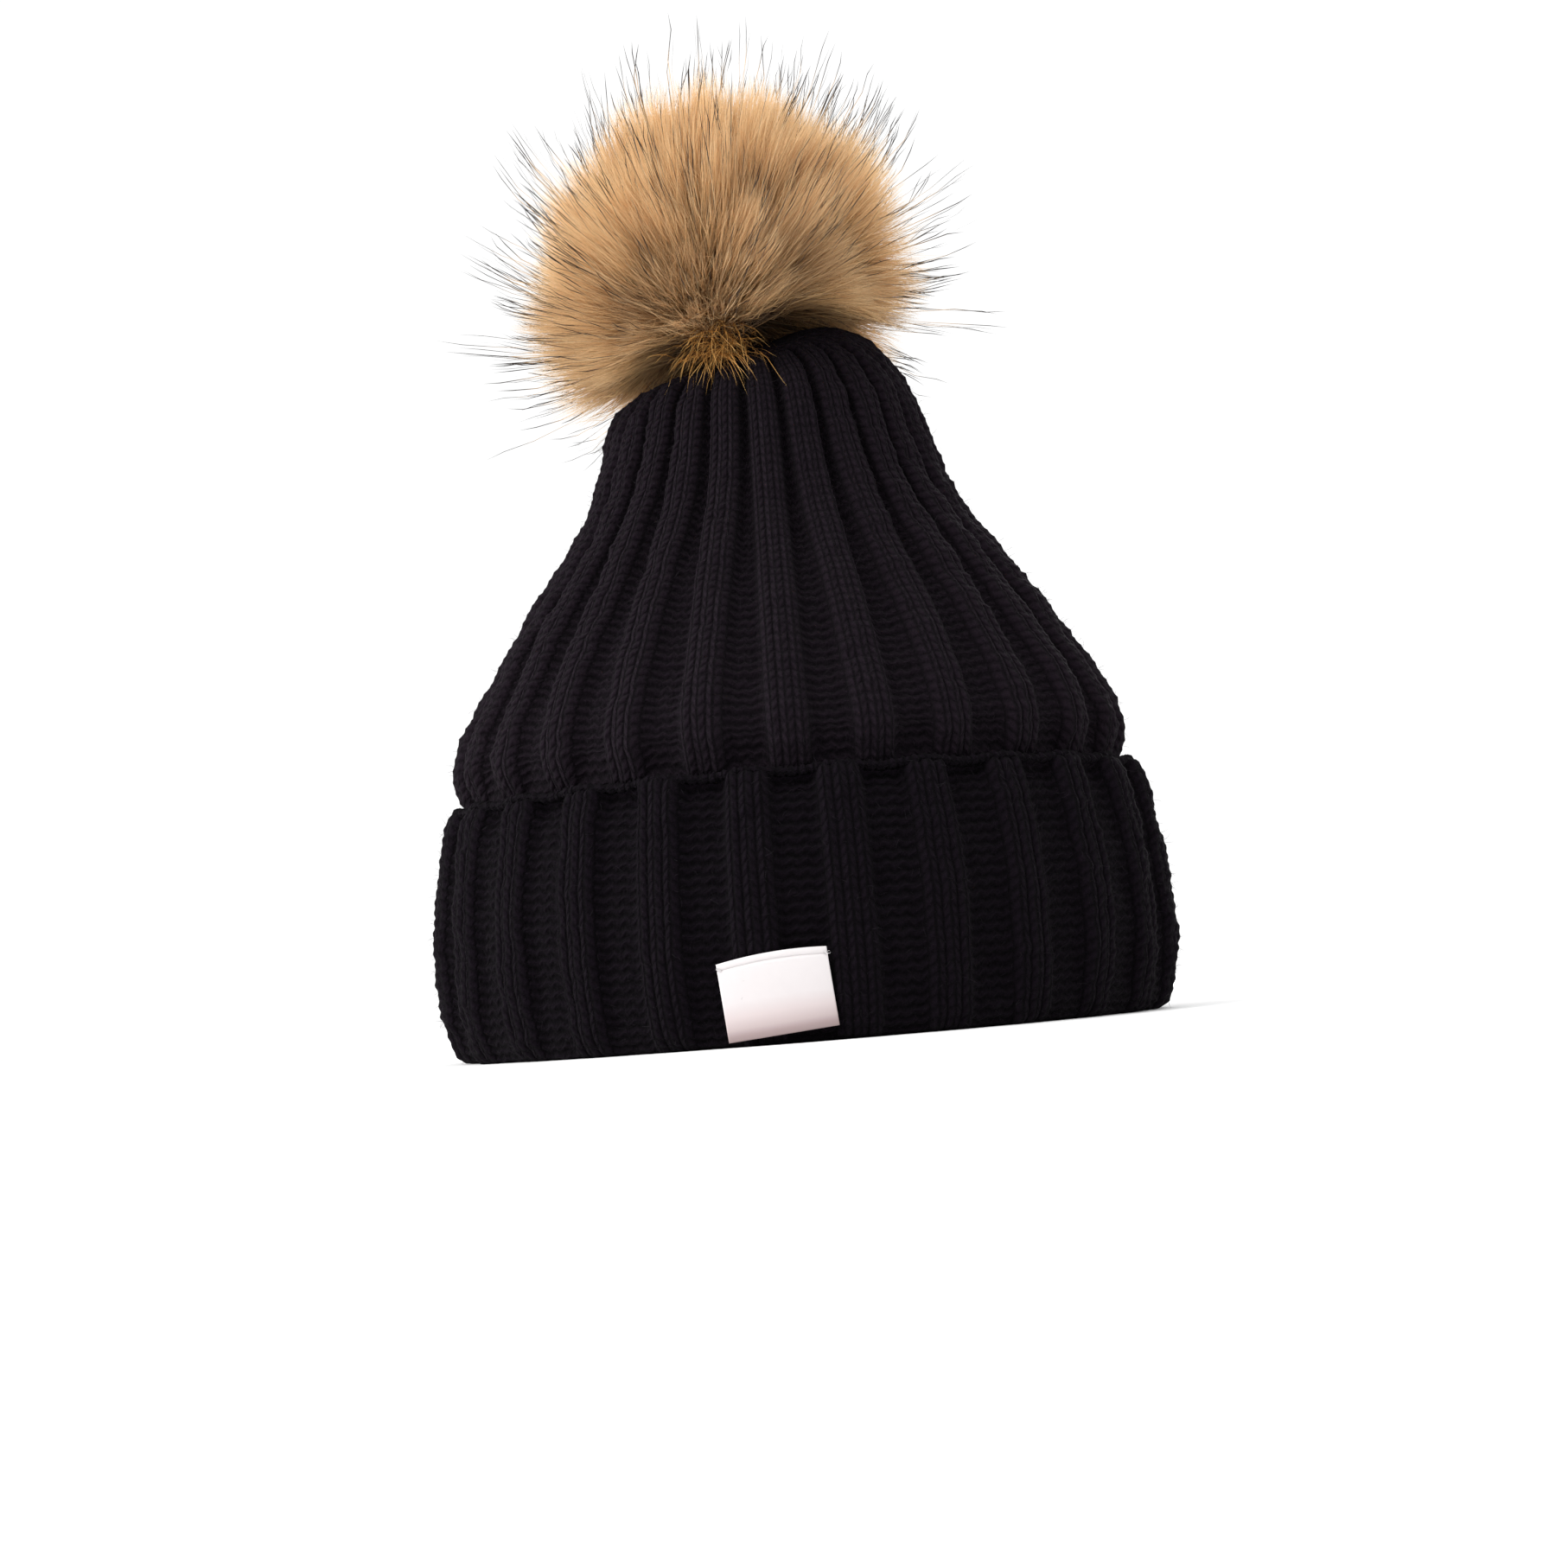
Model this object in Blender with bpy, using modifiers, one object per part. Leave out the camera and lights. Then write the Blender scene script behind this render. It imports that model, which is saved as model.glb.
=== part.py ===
"""Ribbed knit beanie with a turned-up cuff, a small sewn label and a fur pompom.

Metres, +Z up. The hat stands on the fold of its cuff at z = 0, its front faces -Y, and the origin is
on the floor at the middle of the rim. Sizes below are millimetres, and MM turns them into metres.
"""

import math
from collections import namedtuple

import bmesh
import bpy
import numpy as np
from mathutils import Vector

MM = 0.001
SHARP_ANGLE = math.radians(50)

# Driving dimensions, in millimetres
RIB_COUNT = 26  # round both the crown and the cuff
RIB_FLANK = 0.15  # share of a rib's pitch that one sloping side takes
KNIT_WALL = 5.4  # from a rib's crest to the inside of the crown
GAP = 0.3  # between pieces that touch on the real hat
HEM_HEIGHT = 6.3  # the crown's lower edge, inside the fold
RISE_TOWARDS = (0.8, 0.6)  # the crown's top is higher on this side, to the right and the back
SMOOTH_COLUMNS = 52  # round the inner surfaces, which have no ribs
CROWN_APEX = (-16.0, -22.0, 186.6)  # the gather, which lies to the front and left of the top
CROWN_SIDE_RINGS = 18  # rings up to the crown's highest, past which it closes
HOLLOW_APEX = (-9.0, -11.0, 186.0)
HOLLOW_RINGS = 19  # the crown's inside follows every other one of this many rings, then closes
CUFF_FACE_RINGS = 8  # rings of the cuff's face, below its upper edge
CUT_PAST = 2.0  # how far a cutter reaches out of the mouth that it opens

LABEL_WIDTH = 28.0
LABEL_HEIGHT = 20.0
LABEL_THICKNESS = 0.8  # satin folded double
LABEL_X = -8.0
LABEL_MIDDLE_HEIGHT = 12.6
LABEL_TURN = math.radians(5.0)
LABEL_FALL = 0.12  # how fast its free end falls back towards the cuff, from the seam down
LABEL_COLUMNS = 8
LABEL_ROWS = 4

POMPOM_CENTRE = (-9.5, -3.0, 227.0)
POMPOM_CORE = (48.5, 48.0, 38.5)  # half sizes of the dense middle
POMPOM_REACH = (59.5, 59.0, 51.0)  # half sizes at the tips of the locks
POMPOM_FULLNESS = 0.55  # under 1 keeps the lower half wide, where the fur falls over the crown
POMPOM_BASE = (-14.0, -12.0, 200.0)  # where the locks spring from
LOCK_COUNT = 86
LOCK_SIDES = 5
LOCK_WIDTHS = ((0.45, 12.5), (0.78, 8.8))  # share of the lock's length, radius there
LOCK_BOW = 5.0  # how far the middle of a lock is lifted above a straight line
LOCK_UNEVEN_ROUND = (0.05, 3.0)  # share of the reach that varies round the ball, and how often
LOCK_UNEVEN_NEXT = (0.04, 7.0)  # the same from one lock to the next
LOCK_SIDEWAYS = (0.31, 0.17, 1.0)  # no lock runs along this, so their sides are turned from it
LOCK_FREE_HEIGHT = 212.0  # a tip above this height is clear of the crown
LOCK_CLEARANCE = 8.0  # a lower tip is at least this far from the crown's side
SEAT_FACET = 0.15  # added to the gap under the pompom, for the flats between the columns
SEAT_RINGS = 19  # the pompom's underside follows this many rings and spans the dimple beyond them
SEAT_APEX = (-11.4, -15.8, 194.2)

# One row for each ring of the crown. half_width and half_depth are the ring's reach to the crests of
# its ribs, shift_x and shift_y move its middle, rise tips it up towards RISE_TOWARDS, and rib_share is
# the share of a rib's pitch that stands proud.
CrownRing = namedtuple("CrownRing", "height half_width half_depth shift_x shift_y rise rib_depth rib_share")
CROWN_RINGS = (
    CrownRing(HEM_HEIGHT, 93.0, 99.1, 0.0, 0.0, 0.0, 0.8, 0.50),
    CrownRing(28.0, 98.0, 104.4, 0.0, 0.0, 0.0, 0.8, 0.50),
    CrownRing(58.0, 95.2, 101.4, 0.0, 0.0, 0.0, 0.8, 0.50),
    CrownRing(71.0, 92.3, 98.4, 0.0, 0.0, 0.0, 1.4, 0.50),
    CrownRing(75.0, 93.8, 99.9, 0.0, 0.0, 0.0, 2.8, 0.50),
    CrownRing(80.0, 95.4, 101.5, 0.0, 0.0, 0.0, 3.4, 0.50),
    CrownRing(88.0, 93.8, 99.6, 0.0, 0.0, 0.0, 3.4, 0.51),
    CrownRing(98.0, 88.8, 93.9, 0.0, 0.0, 0.0, 3.4, 0.53),
    CrownRing(108.0, 82.8, 87.2, 0.0, 0.0, 0.0, 3.4, 0.55),
    CrownRing(117.0, 77.2, 80.8, 0.0, 0.0, 0.0, 3.4, 0.58),
    CrownRing(126.0, 70.9, 73.8, 0.0, 0.0, 0.0, 3.4, 0.61),
    CrownRing(135.0, 64.6, 66.8, 0.0, 0.0, 0.0, 3.5, 0.65),
    CrownRing(144.0, 58.4, 60.0, 0.0, 0.0, 0.0, 3.6, 0.69),
    CrownRing(154.0, 52.8, 53.8, 0.0, 0.0, 0.0, 3.6, 0.73),
    CrownRing(168.0, 47.4, 47.8, 0.0, 0.0, 0.4, 3.5, 0.77),
    CrownRing(181.0, 43.0, 43.2, -0.1, 0.0, 1.6, 3.2, 0.79),
    CrownRing(190.6, 36.6, 37.0, -0.6, -0.4, 4.8, 2.8, 0.79),
    CrownRing(196.2, 27.4, 28.2, -2.0, -3.2, 8.0, 2.3, 0.78),
    CrownRing(196.0, 17.6, 18.0, -6.2, -9.2, 7.2, 1.6, 0.77),
    CrownRing(192.6, 9.2, 9.3, -11.4, -15.8, 4.0, 0.9, 0.76),
    CrownRing(189.0, 3.6, 3.6, -14.8, -20.2, 1.4, 0.3, 0.75),
)

# One row for each ring of the cuff's outer face, from the floor up. scallop lifts a rib's crest and
# drops the valley beside it, so that the upper edge waves.
CuffRing = namedtuple("CuffRing", "height half_width half_depth rib_depth scallop")
CUFF_RINGS = (
    CuffRing(0.0, 96.6, 102.9, 0.0, 0.0),
    CuffRing(0.8, 99.2, 105.7, 0.7, 0.0),
    CuffRing(3.2, 101.6, 108.2, 1.4, 0.0),
    CuffRing(8.0, 103.4, 110.1, 2.5, 0.0),
    CuffRing(16.0, 104.9, 111.8, 3.2, 0.0),
    CuffRing(28.0, 105.5, 112.4, 3.2, 0.0),
    CuffRing(44.0, 104.5, 111.3, 3.2, 0.0),
    CuffRing(57.0, 102.2, 108.9, 3.2, 0.3),
    CuffRing(66.0, 100.0, 106.6, 3.1, 0.8),
    CuffRing(69.6, 98.4, 104.9, 2.6, 1.0),
    CuffRing(70.4, 96.8, 103.2, 1.6, 1.0),
    CuffRing(69.4, 88.0, 94.0, 0.0, 0.0),
)

# The space inside the cuff: the mouth, a floor for the crown's lower edge, and a face that follows
# the crown's own bulge.
HollowRing = namedtuple("HollowRing", "height half_width half_depth")
CUFF_HOLLOW_RINGS = (
    HollowRing(-CUT_PAST, 91.6, 97.7),
    HollowRing(0.0, 90.4, 96.5),
    HollowRing(1.6, 88.4, 94.5),
    HollowRing(HEM_HEIGHT - GAP, 88.0, 94.1),
    HollowRing(HEM_HEIGHT - GAP, 93.5, 99.6),
    HollowRing(28.0, 98.5, 104.9),
    HollowRing(58.0, 95.7, 101.9),
    HollowRing(72.0, 93.0, 99.1),
    HollowRing(80.0, 93.0, 99.1),
)


def collection_named(name):
    made = bpy.data.collections.new(name)
    bpy.context.scene.collection.children.link(made)
    return made


def principled(name, colour, roughness):
    material = bpy.data.materials.new(name)
    material.use_nodes = True
    shader = material.node_tree.nodes["Principled BSDF"]
    shader.inputs["Base Color"].default_value = (*colour, 1.0)
    shader.inputs["Roughness"].default_value = roughness
    shader.inputs["Metallic"].default_value = 0.0
    return material


def object_from(name, bm, collection, material=None):
    """A new object holding the bmesh, smooth shaded except across sharp edges."""
    bmesh.ops.recalc_face_normals(bm, faces=bm.faces)
    mesh = bpy.data.meshes.new(name)
    bm.to_mesh(mesh)
    bm.free()
    mesh.shade_smooth()
    mesh.set_sharp_from_angle(angle=SHARP_ANGLE)
    if material:
        mesh.materials.append(material)
    made = bpy.data.objects.new(name, mesh)
    collection.objects.link(made)
    return made


def helper(name, bm, collection):
    """An object that only cuts or joins others."""
    made = object_from(name, bm, collection)
    made.hide_render = True
    made.display_type = "WIRE"
    return made


def boolean(target, other, operation, self_crossing=False):
    cut = target.modifiers.new(operation.title() + " " + other.name, "BOOLEAN")
    cut.operation = operation
    cut.object = other
    cut.solver = "EXACT"
    cut.use_self = self_crossing


def rib_columns(first_rib, share):
    """Four columns for each rib: its two crest edges, then the two edges of the valley after it.

    Gives each column's angle, counted from the front towards +X, and its height between 0 and 1.
    """
    pitch = 2 * math.pi / RIB_COUNT
    crest = (share - RIB_FLANK) / 2
    valley = (share + RIB_FLANK) / 2
    offsets = np.array((-crest, crest, valley, 1 - valley))
    angles = (np.arange(RIB_COUNT)[:, None] + first_rib + offsets) * pitch
    heights = np.tile((1.0, 1.0, 0.0, 0.0), RIB_COUNT)
    return angles.ravel(), heights


def even_columns(count):
    return np.arange(count) * 2 * math.pi / count


def crown_ring(ring, angles, heights):
    """Points of one crown ring: an oval tipped up on one side, with the valleys drawn inwards."""
    inwards = ring.rib_depth * (1 - heights)
    across = (ring.half_width - inwards) * np.sin(angles)
    along = -(ring.half_depth - inwards) * np.cos(angles)
    slope = ring.rise / ring.half_width
    towards = across * RISE_TOWARDS[0] + along * RISE_TOWARDS[1]
    return np.stack((across + ring.shift_x, along + ring.shift_y, ring.height + slope * towards), axis=1)


def smooth_crown_rings(outwards):
    """The crown's rings without ribs, every point moved outwards by the distance, square to the knit."""
    angles = even_columns(SMOOTH_COLUMNS)
    rings = np.array([crown_ring(ring, angles, 1.0) for ring in CROWN_RINGS])
    around = np.roll(rings, -1, axis=1) - np.roll(rings, 1, axis=1)
    upwards = np.gradient(rings, axis=0)
    outer = np.cross(around, upwards)
    outer /= np.linalg.norm(outer, axis=2)[:, :, None]
    return rings + outer * outwards


def loft(rings, apex=None):
    """A closed body through rings of equal point counts, given from the bottom up, in millimetres.

    Its foot is one flat face, and its top is one flat face, or comes together at the apex.
    """
    bm = bmesh.new()
    loops = [[bm.verts.new(Vector(point) * MM) for point in ring] for ring in rings]
    for lower, upper in zip(loops, loops[1:]):
        for i in range(len(lower)):
            j = (i + 1) % len(lower)
            bm.faces.new((lower[i], lower[j], upper[j], upper[i]))
    bm.faces.new(loops[0][::-1])
    if apex is None:
        bm.faces.new(loops[-1])
    else:
        tip = bm.verts.new(Vector(apex) * MM)
        for i in range(len(loops[-1])):
            bm.faces.new((loops[-1][i], loops[-1][(i + 1) % len(loops[-1])], tip))
    return bm


def build_crown(parts, cutters, knit):
    rings = []
    for ring in CROWN_RINGS:
        angles, heights = rib_columns(0.0, ring.rib_share)
        rings.append(crown_ring(ring, angles, heights))
    crown = object_from("crown", loft(rings, CROWN_APEX), parts, knit)

    inner = smooth_crown_rings(-KNIT_WALL)[:HOLLOW_RINGS:2]
    inner[0, :, 2] = HEM_HEIGHT - CUT_PAST
    hollow = helper("crown_hollow", loft(inner, HOLLOW_APEX), cutters)
    boolean(crown, hollow, "DIFFERENCE")
    return crown


def cuff_ring(ring, angles, heights):
    """Points of one cuff ring: an oval with its valleys drawn inwards and its crests lifted."""
    inwards = ring.rib_depth * (1 - heights)
    across = (ring.half_width - inwards) * np.sin(angles)
    along = -(ring.half_depth - inwards) * np.cos(angles)
    return np.stack((across, along, ring.height + ring.scallop * (2 * heights - 1)), axis=1)


def build_cuff(parts, cutters, knit):
    """Its ribs stand where the crown has valleys, because it is the same knit turned over."""
    angles, heights = rib_columns(0.5, 0.5)
    cuff = object_from("cuff", loft([cuff_ring(ring, angles, heights) for ring in CUFF_RINGS]), parts, knit)

    smooth = even_columns(SMOOTH_COLUMNS)
    rings = [
        np.stack(
            (
                ring.half_width * np.sin(smooth),
                -ring.half_depth * np.cos(smooth),
                np.full(SMOOTH_COLUMNS, ring.height),
            ),
            axis=1,
        )
        for ring in CUFF_HOLLOW_RINGS
    ]
    hollow = helper("cuff_hollow", loft(rings), cutters)
    boolean(cuff, hollow, "DIFFERENCE")
    return cuff


def build_label(parts, satin):
    """A sheet bent round the cuff's front, clear of its ribs, that hangs straight below its seam."""
    widest = max(ring.half_depth for ring in CUFF_RINGS)
    half_width = max(ring.half_width for ring in CUFF_RINGS)
    face = CUFF_RINGS[:CUFF_FACE_RINGS]
    heights = [ring.height for ring in face]
    depths = [ring.half_depth for ring in face]
    bm = bmesh.new()
    bmesh.ops.create_grid(bm, x_segments=LABEL_COLUMNS, y_segments=LABEL_ROWS, size=0.5)
    for vert in bm.verts:
        across, up = vert.co.x * LABEL_WIDTH, vert.co.y * LABEL_HEIGHT
        x = LABEL_X + across * math.cos(LABEL_TURN) - up * math.sin(LABEL_TURN)
        z = LABEL_MIDDLE_HEIGHT + across * math.sin(LABEL_TURN) + up * math.cos(LABEL_TURN)
        cuff_reach = float(np.interp(z, heights, depths))
        reach = max(cuff_reach, widest - LABEL_FALL * (LABEL_HEIGHT - z)) + GAP
        vert.co = Vector((x, -reach * math.sqrt(1 - (x / half_width) ** 2), z)) * MM
    bmesh.ops.recalc_face_normals(bm, faces=bm.faces)
    if sum(face.normal.y for face in bm.faces) > 0:
        bmesh.ops.reverse_faces(bm, faces=bm.faces)
    mesh = bpy.data.meshes.new("label")
    bm.to_mesh(mesh)
    bm.free()
    mesh.materials.append(satin)
    label = bpy.data.objects.new("label", mesh)
    parts.objects.link(label)
    wall = label.modifiers.new("Folded satin", "SOLIDIFY")
    wall.thickness = LABEL_THICKNESS * MM
    wall.offset = 1.0
    return label


def lock_tips():
    """The place of each lock's tip, spread evenly over the ball in a spiral and made uneven."""
    index = np.arange(LOCK_COUNT) + 0.5
    height = 1 - 2 * index / LOCK_COUNT
    turn = index * math.pi * (3 - math.sqrt(5))
    flat = np.sqrt(1 - height**2)
    flat = np.where(height < 0, flat**POMPOM_FULLNESS, flat)
    directions = np.stack((flat * np.cos(turn), flat * np.sin(turn), height), axis=1)
    uneven = 1 + LOCK_UNEVEN_ROUND[0] * np.sin(LOCK_UNEVEN_ROUND[1] * turn)
    uneven += LOCK_UNEVEN_NEXT[0] * np.sin(LOCK_UNEVEN_NEXT[1] * index)
    return np.array(POMPOM_CENTRE) + directions * np.array(POMPOM_REACH) * uneven[:, None]


def clear_of_crown(point):
    """Whether a point, in millimetres, lies beside or above the crown and not over or in it."""
    x, y, z = point
    side = CROWN_RINGS[:CROWN_SIDE_RINGS]
    neck = np.interp(z, [ring.height for ring in side], [ring.half_width for ring in side])
    return z > LOCK_FREE_HEIGHT or math.hypot(x, y) > neck + LOCK_CLEARANCE


def add_lock(bm, tip):
    """A five-sided lock that leaves the base, bows upwards and narrows to its tip."""
    start = Vector(POMPOM_BASE)
    end = Vector(tip)
    run = end - start
    side = run.cross(Vector(LOCK_SIDEWAYS)).normalized()
    up = side.cross(run).normalized()
    root_ring = None
    for share, radius in LOCK_WIDTHS:
        middle = start + run * share + Vector((0, 0, LOCK_BOW * 4 * share * (1 - share)))
        ring = []
        for k in range(LOCK_SIDES):
            angle = 2 * math.pi * k / LOCK_SIDES
            outwards = side * math.cos(angle) + up * math.sin(angle)
            ring.append(bm.verts.new((middle + outwards * radius) * MM))
        if root_ring is None:
            root_ring = ring
            bm.faces.new(ring[::-1])
        else:
            for k in range(LOCK_SIDES):
                j = (k + 1) % LOCK_SIDES
                bm.faces.new((root_ring[k], root_ring[j], ring[j], ring[k]))
    point = bm.verts.new(end * MM)
    for k in range(LOCK_SIDES):
        bm.faces.new((ring[k], ring[(k + 1) % LOCK_SIDES], point))


def build_pompom(parts, cutters, fur):
    """A core with pointed locks fused to it, hollowed below where it sits over the crown's top."""
    core = bmesh.new()
    bmesh.ops.create_icosphere(core, subdivisions=2, radius=1.0)
    bmesh.ops.scale(core, vec=Vector(POMPOM_CORE) * MM, verts=core.verts)
    bmesh.ops.translate(core, vec=Vector(POMPOM_CENTRE) * MM, verts=core.verts)
    pompom = object_from("pompom", core, parts, fur)

    locks = bmesh.new()
    for tip in lock_tips():
        if clear_of_crown(tip):
            add_lock(locks, tip)
    boolean(pompom, helper("pompom_locks", locks, cutters), "UNION", self_crossing=True)

    seat_rings = smooth_crown_rings(GAP + SEAT_FACET)[:SEAT_RINGS]
    seat = helper("pompom_seat", loft(seat_rings, SEAT_APEX), cutters)
    boolean(pompom, seat, "DIFFERENCE")
    return pompom


def main():
    for old in list(bpy.data.objects):
        bpy.data.objects.remove(old, do_unlink=True)
    parts = collection_named("beanie")
    cutters = collection_named("cutters")
    knit = principled("black_knit", (0.012, 0.010, 0.013), 0.95)
    satin = principled("white_satin", (0.86, 0.84, 0.85), 0.4)
    fur = principled("tan_fur", (0.46, 0.28, 0.13), 0.85)
    build_crown(parts, cutters, knit)
    build_cuff(parts, cutters, knit)
    build_label(parts, satin)
    build_pompom(parts, cutters, fur)


main()
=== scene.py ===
import math

import bpy
import numpy as np
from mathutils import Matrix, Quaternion, Vector


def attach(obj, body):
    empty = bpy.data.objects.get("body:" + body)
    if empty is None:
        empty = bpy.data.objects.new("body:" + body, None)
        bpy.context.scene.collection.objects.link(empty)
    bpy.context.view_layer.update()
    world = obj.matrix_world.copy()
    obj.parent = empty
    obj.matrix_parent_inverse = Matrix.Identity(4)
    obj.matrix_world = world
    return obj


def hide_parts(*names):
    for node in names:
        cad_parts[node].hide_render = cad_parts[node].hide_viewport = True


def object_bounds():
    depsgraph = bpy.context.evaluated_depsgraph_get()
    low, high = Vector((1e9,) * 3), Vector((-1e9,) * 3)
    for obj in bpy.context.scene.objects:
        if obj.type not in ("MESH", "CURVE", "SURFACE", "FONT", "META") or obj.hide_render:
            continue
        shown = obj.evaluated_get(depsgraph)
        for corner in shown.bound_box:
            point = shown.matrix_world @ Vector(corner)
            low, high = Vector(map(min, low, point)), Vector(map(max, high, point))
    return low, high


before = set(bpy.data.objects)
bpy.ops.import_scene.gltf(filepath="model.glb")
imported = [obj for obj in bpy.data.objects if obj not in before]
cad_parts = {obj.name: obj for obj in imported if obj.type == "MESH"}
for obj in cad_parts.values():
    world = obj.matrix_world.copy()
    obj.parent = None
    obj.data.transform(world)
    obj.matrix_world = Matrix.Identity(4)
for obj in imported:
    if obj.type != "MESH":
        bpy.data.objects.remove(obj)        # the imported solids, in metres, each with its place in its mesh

cadLow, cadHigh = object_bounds()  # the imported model's box, before anything is dressed
mm = 0.001  # the sizes below are in millimetres
turn = 2 * math.pi


# Shader maths

class Wire:
    # One socket. Sums on it, with numbers or other wires, add Math nodes to its material.
    def __init__(self, finish, socket):
        self.finish = finish
        self.socket = socket

    def maths(self, operation, *values):
        return self.finish.node("ShaderNodeMath", {"operation": operation}, dict(enumerate(values)))

    def __add__(self, other):
        return self.maths("ADD", self, other)

    def __sub__(self, other):
        return self.maths("SUBTRACT", self, other)

    def __rsub__(self, other):
        return self.maths("SUBTRACT", other, self)

    def __mul__(self, other):
        return self.maths("MULTIPLY", self, other)

    def __pow__(self, other):
        return self.maths("POWER", self, other)

    def __lt__(self, other):
        return self.maths("LESS_THAN", self, other)

    __radd__ = __add__
    __rmul__ = __mul__

    def fraction(self):
        return self.maths("FRACT", self)

    def size(self):
        return self.maths("ABSOLUTE", self)

    def wave(self):
        # A wave between 0 and 1 that comes round once for each whole number
        return 0.5 + 0.5 * self.maths("COSINE", self * turn)


def asColour(value):
    # A wire stays as it is, and three numbers get an alpha of 1
    return value if isinstance(value, Wire) else (*value, 1.0)


class Finish:
    # A material while it is put together
    def __init__(self, name):
        self.material = bpy.data.materials.new(name)
        self.material.use_nodes = True
        self.tree = self.material.node_tree
        self.tree.nodes.clear()

    def node(self, kind, settings=None, sockets=None, output=0):
        # Adds a node: its settings first, then the values or wires of its sockets
        made = self.tree.nodes.new(kind)
        for key, value in (settings or {}).items():
            if key == "stops":
                self.setStops(made.color_ramp, value)
            else:
                setattr(made, key, value)
        for key, value in (sockets or {}).items():
            if isinstance(value, Wire):
                self.tree.links.new(value.socket, made.inputs[key])
            else:
                made.inputs[key].default_value = value
        return Wire(self, made.outputs[output])

    def setStops(self, ramp, stops):
        while len(ramp.elements) < len(stops):
            ramp.elements.new(1.0)
        for element, (place, colour) in zip(ramp.elements, stops):
            element.position = place
            element.color = asColour(colour)

    def uv(self, mapName):
        # The two numbers of a UV map
        whole = self.node("ShaderNodeUVMap", {"uv_map": mapName})
        across = self.node("ShaderNodeSeparateXYZ", {}, {0: whole})
        return across, Wire(self, across.socket.node.outputs[1])

    def noise(self, scale, detail):
        place = self.node("ShaderNodeTexCoord", {}, {}, "Object")
        return self.node("ShaderNodeTexNoise", {}, {"Vector": place, "Scale": scale, "Detail": detail})

    def blend(self, factor, first, second, how="MIX"):
        # Two colours through a Mix node, whose colour sockets are 6 and 7 and whose result is 2
        return self.node("ShaderNodeMix", {"data_type": "RGBA", "blend_type": how},
                         {0: factor, 6: asColour(first), 7: asColour(second)}, 2)

    def ramp(self, factor, stops):
        return self.node("ShaderNodeValToRGB", {"stops": stops}, {"Fac": factor})

    def bump(self, height, distance):
        return self.node("ShaderNodeBump", {}, {"Height": height, "Distance": distance})

    def surface(self, colour, roughness, specular, more=None):
        sockets = {"Base Color": asColour(colour), "Roughness": roughness, "Specular IOR Level": specular}
        return self.node("ShaderNodeBsdfPrincipled", {}, {**sockets, **(more or {})})

    def finished(self, shader):
        out = self.tree.nodes.new("ShaderNodeOutputMaterial")
        self.tree.links.new(shader.socket, out.inputs["Surface"])
        return self.material


def plainFinish(name, colour, roughness, specular):
    finish = Finish(name)
    return finish.finished(finish.surface(colour, roughness, specular))


# Meshes from arrays

def addPiece(name, points, faces, maps, material):
    # points in millimetres, faces as arrays of rows of vertex numbers, maps as corner places by name
    mesh = bpy.data.meshes.new(name)
    corners = np.concatenate([part.ravel() for part in faces])
    sizes = np.concatenate([np.full(len(part), part.shape[1]) for part in faces])
    mesh.vertices.add(len(points))
    mesh.vertices.foreach_set("co", (points * mm).astype(np.float32).ravel())
    mesh.loops.add(len(corners))
    mesh.loops.foreach_set("vertex_index", corners.astype(np.int32))
    mesh.polygons.add(len(sizes))
    mesh.polygons.foreach_set("loop_start", (np.cumsum(sizes) - sizes).astype(np.int32))
    for mapName, places in maps.items():
        layer = mesh.uv_layers.new(name=mapName, do_init=False)
        layer.uv.foreach_set("vector", places.astype(np.float32).ravel())
    mesh.update(calc_edges=True)
    mesh.validate()
    mesh.shade_smooth()
    mesh.materials.append(material)
    piece = bpy.data.objects.new(name, mesh)
    bpy.context.scene.collection.objects.link(piece)
    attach(piece, "root")
    print(name + ":", len(points), "points,", (sizes - 2).sum(), "triangles")
    return piece


def gridPiece(name, points, maps, material, roundAcross=True, roundAlong=False, ends=()):
    # A surface over a grid of points. maps hold a place for each grid point and for one more row
    # and column, so that a pattern meets itself. ends are a point that closes the first row, and one
    # that closes the last.
    rows, columns = points.shape[:2]
    i, j = np.indices((rows - (not roundAlong), columns - (not roundAcross))).reshape(2, -1, 1)
    i, j = i + np.array((0, 0, 1, 1)), j + np.array((0, 1, 1, 0))  # the corners of each face
    faces = [(i % rows) * columns + j % columns]
    places = {key: [value[i, j].reshape(-1, 2)] for key, value in maps.items()}
    points = points.reshape(-1, 3)
    k = np.arange(columns)
    for number, end in enumerate(ends):
        row = (rows - 1) * number
        way = 1 if number else -1  # the fan over the first row is turned over, to face outward too
        tip = np.full(columns, len(points))
        faces.append(np.stack((row * columns + k, row * columns + (k + 1) % columns, tip), axis=1)[:, ::way])
        for key, value in maps.items():
            corners = np.stack((value[row, k], value[row, k + 1], value[row, k]), axis=1)
            places[key].append(corners[:, ::way].reshape(-1, 2))
        points = np.vstack((points, end))
    places = {key: np.vstack(value) for key, value in places.items()}
    return addPiece(name, points, faces, places, material)


def unit(vectors):
    return vectors / np.maximum(np.linalg.norm(vectors, axis=-1, keepdims=True), 1e-9)


def outward(points):
    # Square to a grid's surface: the way round crossed with the way up, each from the two neighbours
    around = np.roll(points, -1, axis=1) - np.roll(points, 1, axis=1)
    return unit(np.cross(around, np.gradient(points, axis=0)))


def smoothStep(x):
    # Rises from 0 to 1 as three squares less two cubes
    x = np.clip(x, 0, 1)
    return x * x * (3 - 2 * x)


# The knit

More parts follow.
